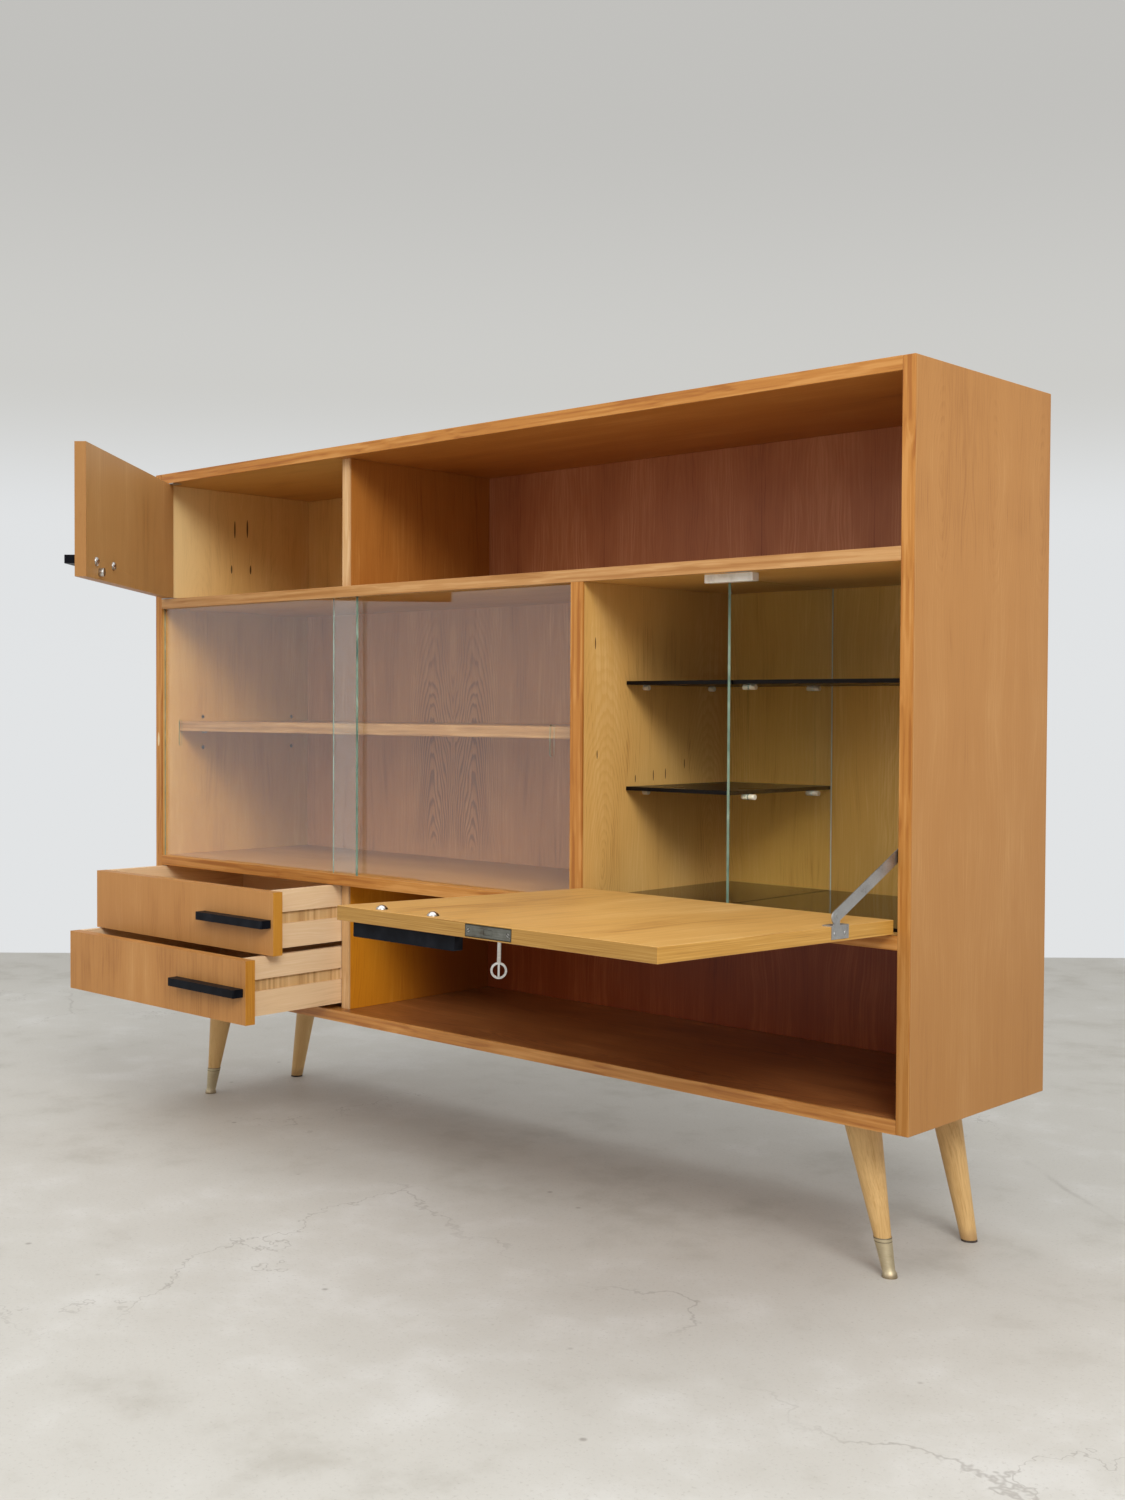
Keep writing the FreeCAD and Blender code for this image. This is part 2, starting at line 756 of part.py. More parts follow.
def make_key():
    """A key with a round pierced bow, standing in the lock."""
    start = Vector(lock_middle, -key_shank_out, key_z)
    inner_end = lock_case_front + lock_case_width - lock_wall - key_bore_clearance
    shank = rod(key_shank_radius, key_shank_out + inner_end, start, ALONG_Y)
    bow_centre = Vector(lock_middle, -key_shank_out - key_bow_radius + key_bow_rim / 2, key_z)
    bow_start = bow_centre - ALONG_Z * (key_bow_thickness / 2)
    ring = rod(key_bow_radius, key_bow_thickness, bow_start, ALONG_Z)
    ring = ring.cut(rod(key_bow_radius - key_bow_rim, key_bow_thickness, bow_start, ALONG_Z))
    half_bar, half_thick = key_bow_bar / 2, key_bow_thickness / 2
    reach = key_bow_radius - key_bow_rim / 2
    bar = block(lock_middle - half_bar, lock_middle + half_bar, bow_centre.y - reach, bow_centre.y + reach,
                key_z - half_thick, key_z + half_thick)
    half_bit = key_bit_thickness / 2
    bit_y = inner_end - key_bit_length
    bit = block(lock_middle, lock_middle + key_bit_reach, bit_y, inner_end,
                key_z - half_bit, key_z + half_bit)
    key = ring.fuse([bar, shank, bit]).removeSplitter()
    return turned(key, Vector(lock_middle, 0, key_z), ALONG_Y, key_rest_turn)


# Stay places: the rivet on the closed flap, then swung down with it
stay_rivet_y = board + stay_ear_rise
stay_rivet_z = flap_low + stay_rivet_place
stay_arm_left = flap_right + stay_side_clearance
stay_arm_right = stay_arm_left + stay_arm_thickness
stay_rail_face = inner_right - stay_rail_thickness
flap_swing = FreeCAD.Rotation(ALONG_X, flap_open_angle)
rivet_closed = Vector(0, stay_rivet_y, stay_rivet_z)
rivet_open = flap_axis_point + flap_swing.multVec(rivet_closed - flap_axis_point)
stay_arm_length = (stay_rail_place - rivet_open.y) / math.cos(math.radians(stay_arm_angle))
rail_pin_open = rivet_open.z + stay_arm_length * math.sin(math.radians(stay_arm_angle))
rail_pin_closed = rivet_closed.z + math.sqrt(stay_arm_length ** 2 - (stay_rail_place - rivet_closed.y) ** 2)


def stay_plate(extra):
    """The bracket's plate in the flap's right end, or its pocket with a clearance."""
    z0 = flap_low + stay_plate_start
    return block(flap_right - stay_plate_thickness - extra, flap_right,
                 board - stay_plate_width - extra, board, z0 - extra, z0 + stay_plate_length + extra)


def make_stay():
    """The flap's stay: a bracket on the flap, an arm and a slotted rail on the wall."""
    left = flap_right - stay_plate_thickness
    ear_start = Vector(left, stay_rivet_y, stay_rivet_z)
    ear = rod(stay_ear_radius, stay_plate_thickness, ear_start, ALONG_X)
    neck = block(left, flap_right, board - stay_plate_width / 2, stay_rivet_y,
                 stay_rivet_z - stay_ear_radius, stay_rivet_z + stay_ear_radius)
    flange_z = flap_low + stay_plate_start
    flange = block(flap_right - stay_flange_reach, flap_right, board, board + stay_plate_thickness,
                   flange_z, flange_z + stay_plate_length)
    bracket = stay_plate(0).fuse([ear, neck, flange]).removeSplitter()
    rivet_hole = stay_rivet_radius + stay_rivet_clearance
    bracket = bracket.cut(rod(rivet_hole, stay_plate_thickness, ear_start, ALONG_X))
    half = stay_arm_width / 2
    arm_start, arm_end = rivet_open.y - stay_arm_tail, rivet_open.y + stay_arm_length
    arm = block(stay_arm_left, stay_arm_right, arm_start, arm_end, rivet_open.z - half, rivet_open.z + half)
    for y in (arm_start, arm_end):
        arm = arm.fuse(rod(half, stay_arm_thickness, Vector(stay_arm_left, y, rivet_open.z), ALONG_X))
    inner_head_right = left - stay_rivet_clearance
    rivet = rod(stay_rivet_radius, stay_arm_left - inner_head_right,
                Vector(inner_head_right, rivet_open.y, rivet_open.z), ALONG_X)
    heads = [rod(stay_rivet_head_radius, stay_rivet_head, Vector(x, rivet_open.y, rivet_open.z), ALONG_X)
             for x in (inner_head_right - stay_rivet_head, stay_arm_right)]
    pin_length = stay_rail_face - stay_pin_gap - stay_arm_left
    pin_start = Vector(stay_arm_left, rivet_open.y + stay_arm_length, rivet_open.z)
    pin = rod(stay_pin_radius, pin_length, pin_start, ALONG_X)
    arm = arm.fuse([rivet, pin] + heads).removeSplitter()
    arm = turned(arm, Vector(0, rivet_open.y, rivet_open.z), ALONG_X, stay_arm_angle)
    half_rail = stay_rail_width / 2
    slot = stay_pin_radius + stay_rail_slot_clearance
    rail = block(stay_rail_face, inner_right, stay_rail_place - half_rail, stay_rail_place + half_rail,
                 rail_pin_open - slot - stay_rail_end, rail_pin_closed + slot + stay_rail_end)
    rail_slot = block(stay_rail_face, inner_right, stay_rail_place - slot, stay_rail_place + slot,
                      rail_pin_open, rail_pin_closed)
    for z in (rail_pin_open, rail_pin_closed):
        end = rod(slot, stay_rail_thickness, Vector(stay_rail_face, stay_rail_place, z), ALONG_X)
        rail_slot = rail_slot.fuse(end)
    return bracket, arm, rail.cut(rail_slot)


flap_handle_middle = flap_left + flap_handle_end_inset + handle_length / 2


def make_flap():
    """The bar flap with its handle, hinges, lock, key and stay, swung down."""
    handle_z = flap_high - flap_handle_inset
    panel = block(flap_left, flap_right, 0, board, flap_low, flap_high)
    panel = panel.cut(handle_holes(flap_handle_middle, handle_z, board))
    panel = panel.cut(hinge_notches(flap_low, flap_low + hinge_notch_rise))
    panel = panel.cut([lock_body(lock_clearance), stay_plate(stay_plate_clearance)])
    entry = rod(key_shank_radius + key_entry_clearance, board / 2, Vector(lock_middle, 0, key_z), ALONG_Y)
    panel = panel.cut(entry)
    lock, bolt, strike = make_lock()
    bracket, arm, rail = make_stay()
    moving_leaves = [make_hinge_leaf(start, False, flap_low - hinge_leaf_thickness, flap_low, True)
                     for start in hinge_starts]
    fixed_leaves = [make_hinge_leaf(start, True, lower_high, lower_high + hinge_leaf_thickness, False)
                    for start in hinge_starts]
    on_flap = {
        "flap": panel,
        "flap_handle": make_handle(flap_handle_middle, handle_z, 0),
        "flap_handle_screws": make_handle_screws(flap_handle_middle, handle_z),
        "flap_hinge_leaves": group(moving_leaves),
        "flap_lock": lock,
        "lock_bolt": bolt,
        "key": make_key(),
        "stay_bracket": bracket,
    }
    nodes = {name: opened_flap(shape) for name, shape in on_flap.items()}
    half = stop_block_length / 2
    block_middle = bar_middle + stop_block_offset
    block_front = board + stop_block_gap
    nodes["flap_stop_block"] = block(block_middle - half, block_middle + half,
                                     block_front, block_front + stop_block_depth,
                                     middle_low - stop_block_height, middle_low)
    nodes["carcass_hinge_leaves"] = group(fixed_leaves)
    nodes["lock_strike_plate"] = strike
    nodes["stay_arm"] = arm
    nodes["stay_rail"] = rail
    return nodes


def make_all():
    """Every node, with the origin on the floor under the middle of the whole outline."""
    nodes = {}
    for made in (make_sides(), make_boards(), make_dividers(), make_legs(), make_display_shelf(),
                 make_bar_glass(), make_glass(), make_door(), make_runners(), make_flap(),
                 make_drawer("upper", upper_drawer_low, upper_drawer_out),
                 make_drawer("lower", lower_drawer_low, lower_drawer_out)):
        nodes.update(made)
    outline = group(list(nodes.values())).BoundBox
    to_origin = Vector(0, -(outline.YMin + outline.YMax) / 2, 0)
    return {name: moved(shape, to_origin) for name, shape in nodes.items()}, to_origin


parts, origin_shift = make_all()
os.makedirs("parts", exist_ok=True)
for node_name, node_shape in parts.items():
    node_shape.exportStep(f"parts/{node_name}.step")
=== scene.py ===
import math
from functools import reduce

import bmesh
import bpy
from mathutils import Matrix, Vector


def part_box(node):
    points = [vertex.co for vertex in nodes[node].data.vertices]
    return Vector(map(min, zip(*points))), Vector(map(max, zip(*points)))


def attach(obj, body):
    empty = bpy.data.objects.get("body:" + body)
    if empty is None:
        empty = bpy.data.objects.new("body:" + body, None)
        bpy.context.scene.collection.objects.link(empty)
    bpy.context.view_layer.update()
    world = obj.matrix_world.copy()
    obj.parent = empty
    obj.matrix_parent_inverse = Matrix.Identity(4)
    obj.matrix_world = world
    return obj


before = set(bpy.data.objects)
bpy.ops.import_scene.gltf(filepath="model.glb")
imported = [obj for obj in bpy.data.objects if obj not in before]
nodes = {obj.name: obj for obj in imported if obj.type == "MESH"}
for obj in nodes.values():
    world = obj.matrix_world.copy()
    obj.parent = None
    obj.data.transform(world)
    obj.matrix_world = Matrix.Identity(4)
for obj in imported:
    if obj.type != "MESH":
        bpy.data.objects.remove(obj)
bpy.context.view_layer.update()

scene = bpy.context.scene
scene.view_settings.view_transform = "Standard"

X, Y, Z = Vector((1, 0, 0)), Vector((0, 1, 0)), Vector((0, 0, 1))
MM = 0.001

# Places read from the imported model, in metres
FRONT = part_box("right_side")[0].y
SIDE_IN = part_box("right_side")[0].x
BAR_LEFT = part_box("bar_divider")[1].x
BAR_DIVIDER_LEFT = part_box("bar_divider")[0].x
DIVIDER_LEFT, DIVIDER_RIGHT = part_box("upper_divider")[0].x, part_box("upper_divider")[1].x
BOTTOM_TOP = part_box("bottom_board")[1].z
LOWER_LOW, LOWER_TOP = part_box("lower_shelf")[0].z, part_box("lower_shelf")[1].z
MIDDLE_LOW, MIDDLE_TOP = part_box("middle_shelf")[0].z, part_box("middle_shelf")[1].z
TOP_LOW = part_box("top_board")[0].z
BACK_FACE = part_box("back_panel")[1].y
UPRIGHT_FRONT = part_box("upper_divider")[0].y

# Angles at which the small door and the flap stand open, and the directions that go with them
DOOR_ANGLE = math.radians(48.75)
FLAP_ANGLE = math.radians(88.4)
DOOR_ACROSS = Vector((math.cos(DOOR_ANGLE), -math.sin(DOOR_ANGLE), 0))
DOOR_OUT = Vector((-math.sin(DOOR_ANGLE), -math.cos(DOOR_ANGLE), 0))
FLAP_IN = Vector((0, math.cos(FLAP_ANGLE), math.sin(FLAP_ANGLE)))
FLAP_UP = Vector((0, -math.sin(FLAP_ANGLE), math.cos(FLAP_ANGLE)))

# An open limit of a box lies beyond everything
FAR = 9.0


def reach(node, direction):
    """Lowest and highest distance of a node along a direction."""
    values = [v.co.dot(direction) for v in nodes[node].data.vertices]
    return min(values), max(values)


def middle_of(low, high):
    return (low + high) / 2


def spread(half):
    """Places of three colours on a ramp, evenly about its middle."""
    return 0.5 - half, 0.5, 0.5 + half


class Graph:
    """Short ways to add nodes to a material."""

    def __init__(self, tree):
        self.tree = tree
        tree.nodes.clear()

    def add(self, kind, inputs=(), **settings):
        node = self.tree.nodes.new(kind)
        for key, value in settings.items():
            setattr(node, key, value)
        for key, value in dict(inputs).items():
            if isinstance(value, bpy.types.NodeSocket):
                self.tree.links.new(value, node.inputs[key])
            else:
                node.inputs[key].default_value = value
        return node

    def math(self, operation, *values):
        return self.add("ShaderNodeMath", enumerate(values), operation=operation).outputs[0]

    def plus(self, a, b):
        return self.math("ADD", a, b)

    def minus(self, a, b):
        return self.math("SUBTRACT", a, b)

    def times(self, a, b):
        return self.math("MULTIPLY", a, b)

    def over(self, a, b):
        return self.math("DIVIDE", a, b)

    def size(self, value):
        return self.math("ABSOLUTE", value)

    def above(self, value, limit):
        return self.math("GREATER_THAN", value, limit)

    def below(self, value, limit):
        return self.math("LESS_THAN", value, limit)

    def either(self, a, b):
        return self.math("MAXIMUM", a, b)

    def inverse(self, value):
        """1 for 0 and 0 for 1."""
        return self.minus(1.0, value)

    def centred(self, value):
        """Noise about 0 in place of 0.5."""
        return self.minus(value, 0.5)

    def squares(self, a, b):
        """Sum of two squares."""
        return self.plus(self.math("POWER", a, 2.0), self.math("POWER", b, 2.0))

    def away(self, a, b):
        """Distance for two offsets at right angles."""
        return self.math("SQRT", self.squares(a, b))

    def blend_of(self, a, share_a, b, share_b):
        """Two values added in given shares."""
        return self.plus(self.times(a, share_a), self.times(b, share_b))

    def vector(self, operation, *values):
        node = self.add("ShaderNodeVectorMath", enumerate(values), operation=operation)
        return node.outputs["Value" if operation == "DOT_PRODUCT" else "Vector"]

    def position(self):
        return self.add("ShaderNodeTexCoord").outputs["Object"]

    def along(self, direction):
        """Distance along a direction, in metres."""
        return self.vector("DOT_PRODUCT", self.position(), tuple(direction))

    def facing(self, axis):
        """How far the surface faces along an axis, either way, from 0 to 1."""
        normal = self.add("ShaderNodeTexCoord").outputs["Normal"]
        return self.size(self.vector("DOT_PRODUCT", normal, tuple(axis)))

    def combine(self, x, y, z):
        return self.add("ShaderNodeCombineXYZ", enumerate((x, y, z))).outputs[0]

    def scaled(self, vector, scales):
        return self.vector("MULTIPLY", vector, scales)

    def noise(self, vector, detail=3.0, roughness=0.5):
        settings = {"Vector": vector, "Scale": 1.0, "Detail": detail, "Roughness": roughness, "Distortion": 0.0}
        return self.add("ShaderNodeTexNoise", settings).outputs[0]

    def grain(self, place, scales, detail=3.0, roughness=0.5):
        """Noise with its own scale along each axis."""
        return self.noise(self.scaled(place, scales), detail, roughness)

    def mottle(self, scale, detail=3.0, roughness=0.5):
        """Noise over the part's frame, the same each way."""
        return self.grain(self.position(), (scale, scale, scale), detail, roughness)

    def floor_mottle(self, scale, detail, roughness):
        """Noise over the floor."""
        return self.grain(self.position(), (scale, scale, 1.0), detail, roughness)

    def cells(self, vector, **settings):
        return self.add("ShaderNodeTexVoronoi", {"Vector": vector, "Scale": 1.0}, **settings).outputs

    def chance(self, number):
        """A value from 0 to 1 that is fixed for each whole number."""
        return self.add("ShaderNodeTexWhiteNoise", {"W": number}, noise_dimensions="1D").outputs["Value"]

    def step(self, value, low, high):
        """0 below low, 1 above high and smooth between."""
        settings = {"Value": value, "From Min": low, "From Max": high}
        return self.add("ShaderNodeMapRange", settings, interpolation_type="SMOOTHSTEP").outputs[0]

    def fall(self, value, low, high):
        """1 below low, 0 above high and smooth between."""
        return self.inverse(self.step(value, low, high))

    def range(self, value, low, high):
        """0 to 1 taken to low to high."""
        return self.add("ShaderNodeMapRange", {"Value": value, "To Min": low, "To Max": high}).outputs[0]

    def within(self, value, low, high):
        """1 between two values, else 0."""
        return self.times(self.above(value, low), self.below(value, high))

    def inside(self, low, high):
        """1 inside a box of the part's frame, where a limit of None is open."""
        axes = self.add("ShaderNodeSeparateXYZ", {0: self.position()}).outputs
        masks = [self.within(axis, -FAR if a is None else a, FAR if b is None else b)
                 for axis, a, b in zip(axes, low, high) if a is not None or b is not None]
        return reduce(self.times, masks)

    def mix(self, factor, a, b):
        node = self.add("ShaderNodeMix", {0: factor}, data_type="RGBA")
        for socket, value in ((node.inputs[6], a), (node.inputs[7], b)):
            if isinstance(value, bpy.types.NodeSocket):
                self.tree.links.new(value, socket)
            else:
                socket.default_value = (*value, 1.0)
        return node.outputs[2]

    def cover(self, colour, mask, strength, paint):
        """Paint laid over a colour where the mask is, at a given strength."""
        return self.mix(self.times(mask, strength), colour, paint)

    def ramp(self, factor, colours, places=None):
        node = self.add("ShaderNodeValToRGB", {0: factor})
        node.color_ramp.interpolation = "EASE"
        stops = node.color_ramp.elements
        count = len(colours)
        while len(stops) < count:
            stops.new(0.5)
        for index, colour in enumerate(colours):
            stops[index].position = places[index] if places else index / (count - 1)
            stops[index].color = (*colour, 1.0)
        return node.outputs[0]

    def bump(self, height, distance, strength):
        settings = {"Height": height, "Distance": distance, "Strength": strength}
        return self.add("ShaderNodeBump", settings).outputs[0]

    def principled(self, inputs):
        return self.add("ShaderNodeBsdfPrincipled", inputs)

    def surface(self, shader, kind="ShaderNodeOutputMaterial"):
        self.tree.links.new(shader.outputs[0], self.add(kind).inputs["Surface"])


def new_graph(name):
    material = bpy.data.materials.new(name)
    material.use_nodes = True
    return material, Graph(material.node_tree)


# Wood tones from dark to light
HONEY = ((0.300, 0.115, 0.024), (0.458, 0.210, 0.058), (0.570, 0.302, 0.106))
AMBER = ((0.270, 0.090, 0.014), (0.440, 0.176, 0.032), (0.560, 0.265, 0.068))
DEEP_AMBER = ((0.245, 0.077, 0.012), (0.405, 0.152, 0.026), (0.530, 0.235, 0.055))
BIRCH = ((0.450, 0.225, 0.058), (0.675, 0.392, 0.116), (0.775, 0.500, 0.190))
BAR_BIRCH = ((0.490, 0.245, 0.052), (0.725, 0.418, 0.098), (0.830, 0.530, 0.165))
DOOR_BIRCH = ((0.500, 0.270, 0.082), (0.720, 0.452, 0.160), (0.820, 0.565, 0.250))
DOOR_INNER = ((0.320, 0.150, 0.042), (0.500, 0.268, 0.092), (0.600, 0.355, 0.150))
FLAP_BIRCH = ((0.370, 0.176, 0.040), (0.560, 0.308, 0.084), (0.670, 0.410, 0.148))
DISPLAY_RUSSET = ((0.300, 0.110, 0.034), (0.530, 0.232, 0.084), (0.690, 0.350, 0.150))
DISPLAY_WALL = ((0.380, 0.164, 0.034), (0.550, 0.272, 0.064), (0.650, 0.368, 0.118))
DISPLAY_FLOOR = ((0.315, 0.122, 0.024), (0.465, 0.206, 0.048), (0.575, 0.290, 0.090))
RUSSET = ((0.230, 0.068, 0.026), (0.415, 0.150, 0.058), (0.555, 0.240, 0.108))
# The lower bay's back and floor: the veneer's own red-brown, darkened with painted shade from the flap above
SHADED_MAROON = ((0.110, 0.017, 0.004), (0.240, 0.046, 0.011), (0.360, 0.092, 0.027))
SHADED_UMBER = ((0.130, 0.038, 0.012), (0.275, 0.098, 0.028), (0.430, 0.180, 0.060))
ORANGE = ((0.390, 0.118, 0.006), (0.600, 0.222, 0.010), (0.720, 0.320, 0.030))
LIPPING = ((0.335, 0.118, 0.018), (0.445, 0.182, 0.034), (0.535, 0.248, 0.064))
PALE_LIP = ((0.370, 0.168, 0.048), (0.460, 0.232, 0.080), (0.540, 0.300, 0.120))
DIM_LIP = ((0.310, 0.136, 0.042), (0.400, 0.192, 0.068), (0.475, 0.250, 0.100))
CREAM_LIP = ((0.500, 0.275, 0.110), (0.600, 0.365, 0.170), (0.670, 0.440, 0.230))
DOOR_LIP = ((0.270, 0.112, 0.028), (0.345, 0.162, 0.046), (0.420, 0.215, 0.072))
FLAP_LIP = ((0.240, 0.116, 0.022), (0.370, 0.196, 0.042), (0.470, 0.275, 0.080))
FLAP_END = ((0.350, 0.165, 0.028), (0.490, 0.250, 0.046), (0.590, 0.335, 0.085))
GOLDEN = ((0.400, 0.155, 0.016), (0.520, 0.230, 0.028), (0.600, 0.300, 0.060))
BEECH = ((0.580, 0.380, 0.205), (0.745, 0.520, 0.305), (0.830, 0.620, 0.405))
LEG_BEECH = ((0.490, 0.280, 0.092), (0.660, 0.425, 0.178), (0.740, 0.515, 0.255))
CORE_STRIPS = ((0.400, 0.220, 0.080), (0.600, 0.380, 0.170), (0.720, 0.500, 0.265))
BOARD_BROWN = ((0.150, 0.085, 0.045), (0.230, 0.140, 0.078), (0.290, 0.190, 0.115))

# Single colours of marks in the wood
BARK = (0.040, 0.014, 0.004)
GLUE = (0.66, 0.42, 0.19)
HOLE_DARK = (0.030, 0.014, 0.006)
SPLINTER = (0.80, 0.62, 0.36)
# Painted light: paler wall towards the open front of the door bay
LIT_FRONT_PALE = (0.86, 0.68, 0.36)
# Painted shade: darker towards the foot of a side, where less light falls
FOOT_SHADE_BROWN = (0.20, 0.085, 0.012)
# Painted shade: redder and darker towards the back of the lower bay, under the flap
BACK_SHADE_RED = (0.20, 0.042, 0.010)
CURL = (0.90, 0.60, 0.22)
SCREW_GREY = (0.46, 0.44, 0.39)
WORN_TIP = (0.200, 0.090, 0.045)

# How far a face's mask reaches into a board, depth of the front lipping and width of its glue line
SKIN, LIP, GLUE_WIDTH = 0.6 * MM, 4.0 * MM, 0.7 * MM

# Bays of the cabinet, as boxes in the part's frame
DOOR_BAY = ((-SIDE_IN - SKIN, FRONT + LIP, MIDDLE_TOP - SKIN), (DIVIDER_LEFT + SKIN, None, TOP_LOW + SKIN))
UPPER_BAY = ((DIVIDER_RIGHT - SKIN, FRONT + LIP, MIDDLE_TOP - SKIN), (SIDE_IN + SKIN, None, TOP_LOW + SKIN))
BAR_BAY = ((BAR_LEFT - SKIN, FRONT + LIP, LOWER_TOP - SKIN), (SIDE_IN + SKIN, None, MIDDLE_LOW + SKIN))
DISPLAY_BAY = ((-SIDE_IN - SKIN, FRONT + LIP, LOWER_TOP - SKIN),
               (BAR_DIVIDER_LEFT + SKIN, None, MIDDLE_LOW + SKIN))
LOWER_BAY = ((DIVIDER_RIGHT - SKIN, FRONT + LIP, BOTTOM_TOP - SKIN), (SIDE_IN + SKIN, None, LOWER_LOW + SKIN))

# Noises of the wood: scales across, along and through the sheet, then detail and roughness
SWAY = (8.0, 3.0, 8.0), 3.0
BROAD = (9.0, 1.3, 9.0), 3.0
BLOTCH = (26.0, 9.0, 26.0), 4.0
COARSE = (95.0, 1.5, 95.0), 4.0, 0.6
FINE = (420.0, 7.0, 420.0), 2.0
PORES = (1100.0, 22.0, 1100.0), 2.0
LIP_LINES = (160.0, 3.0, 160.0), 3.0

# How the sheet is moved for each seed, and bent by its sway
SEED_SHIFT = (0.37, 1.73, 0.11)
SWAY_ACROSS, SWAY_DEEP = 0.05, 0.045

# Ring arches: rings a metre and how far coarse noise moves them, where dark late wood rises and falls in a
# ring, how far from the heart they fade and for what share of their run they are full, the clouds that hold
# them, the share of them that leaves the tone as it is, and the height over which they set in
RINGS_A_METRE, RING_WANDER = 215.0, 1.2
LATE_RISE, LATE_FALL = (0.30, 0.80), (0.86, 1.0)
HEART_REACH, RUN_FULL = (0.03, 0.11), 0.4
ARCH_PATCHES, ARCH_REST, ARCH_FADE = (0.32, 0.54), 0.2, 0.04

# Shares of the layers in the tone
BLOTCH_SHARE, COARSE_SHARE, FINE_SHARE, LEAF_SHARE = 0.45, 0.65, 1.3, 0.10


def wood_tone(g, across, along, seed, leaf=0.20, seam=0.0, heart=0.5, middle=0.7, tilt=0.16, figure=0.12,
              streak=0.45, cloud=1.1, pore=0.45, run=0.45, plain_below=None):
    """Tone from 0 to 1 of a sliced veneer, with its pore height and the place in its sheet.

    Leaves mirror each other at the seams like pages of a book. Each has patchy ring arches about its heart,
    stretched along the grain for a run each way from a middle, between wavy streaks and clouds. There are
    no arches below the height plain_below.
    """
    u, v, w = (g.along(axis) for axis in (across, along, across.cross(along)))
    sheet = g.minus(u, seam)
    page = g.math("PINGPONG", sheet, leaf)
    leaf_tone = g.chance(g.math("FLOOR", g.over(sheet, leaf)))
    shift = tuple(seed * share for share in SEED_SHIFT)
    sway = g.centred(g.grain(g.vector("ADD", g.combine(page, v, w), shift), *SWAY))
    bent = g.plus(page, g.times(sway, SWAY_ACROSS))
    place = g.vector("ADD", g.combine(bent, v, w), shift)
    layers = BROAD, BLOTCH, COARSE, FINE, PORES
    broad, blotch, coarse, fine, pores = (g.grain(place, *layer) for layer in layers)

    off = g.minus(bent, heart * leaf)
    from_middle = g.minus(v, middle)
    deep = g.blend_of(from_middle, tilt, sway, SWAY_DEEP)
    ripple = g.math("FRACT", g.blend_of(g.away(off, deep), RINGS_A_METRE, coarse, RING_WANDER))
    late = g.times(g.step(ripple, *LATE_RISE), g.fall(ripple, *LATE_FALL))
    near = g.fall(g.size(off), *HEART_REACH)
    along_run = g.fall(g.size(from_middle), RUN_FULL * run, run)
    arches = g.times(g.times(late, near), g.times(along_run, g.step(broad, *ARCH_PATCHES)))
    if plain_below:
        arches = g.times(arches, g.step(v, plain_below, plain_below + ARCH_FADE))

    tone = g.plus(0.5, g.times(g.centred(broad), cloud))
    for value, share in ((blotch, BLOTCH_SHARE * cloud), (coarse, COARSE_SHARE * streak),
                         (fine, FINE_SHARE * streak), (pores, pore), (leaf_tone, LEAF_SHARE)):
        tone = g.plus(tone, g.times(g.centred(value), share))
    tone = g.minus(tone, g.times(g.minus(arches, ARCH_REST), figure))
    return tone, pores, place


# Lacquers, as range of roughness and specular level
SATIN = (0.40, 0.55), 0.28
POLISHED = (0.24, 0.38), 0.42
DULLED = (0.28, 0.44), 0.20
SOLID_WOOD = (0.42, 0.58), 0.35
PORE_DEPTH, PORE_STRENGTH = 0.06 * MM, 0.35

# Bark slits: share of the length given, how their rim fades, and strength
SLIT_SPAN, SLIT_RIM, SLIT_STRENGTH = 0.7, (0.7, 1.0), 0.92


def slit_marks(g, marks, half_width):
    """Dark bark slits on a wall, given as depth from the front, height and length in millimetres."""
    slits = []
    for depth, height, length in marks:
        off_y = g.over(g.minus(g.along(Y), FRONT + depth * MM), half_width * MM)
        off_z = g.over(g.minus(g.along(Z), height * MM), SLIT_SPAN * length * MM)
        slits.append(g.fall(g.squares(off_y, off_z), *SLIT_RIM))
    return reduce(g.either, slits)


def finish_wood(g, colour, pores, roughness, specular):
    g.surface(g.principled({
        "Base Color": colour, "Roughness": g.range(pores, *roughness), "Specular IOR Level": specular,
        "Normal": g.bump(pores, PORE_DEPTH, PORE_STRENGTH)}))


def veneer(name, across, along, seed, outside=HONEY, regions=(), lip=None, extra=None, marks=(), gloss=SATIN,
           **figure):
    """A veneered board: one tone outside, others in the bays that it faces, and a lipped edge."""
    material, g = new_graph(name)
    tone, pores, place = wood_tone(g, across, along, seed, **figure)
    colour = g.ramp(tone, outside)
    for box, tones in regions:
        colour = g.mix(g.inside(*box), colour, g.ramp(tone, tones))
    for box, slits, half_width in marks:
        dark = g.times(slit_marks(g, slits, half_width), g.inside(*box))
        colour = g.cover(colour, dark, SLIT_STRENGTH, BARK)
    if lip:
        box, tones = lip
        colour = g.mix(g.inside(*box), colour, g.ramp(g.grain(place, *LIP_LINES), tones, spread(0.16)))
    if extra:
        colour = extra(g, colour, tone)
    finish_wood(g, colour, pores, *gloss)
    return material


def glue_line(g, colour, tone):
    """A fine pale line where the front lipping meets the veneer."""
    line = g.within(g.along(Y), FRONT + LIP - GLUE_WIDTH, FRONT + LIP)
    return g.cover(colour, line, 0.45, GLUE)


# Shelf-pin holes: how far from the pins, how deep, and where their grimy rim fades
HOLE_SPACING = 30.5 * MM
HOLE_DEPTH = 10 * MM
HOLE_RIM = 3.0 * MM, 4.4 * MM


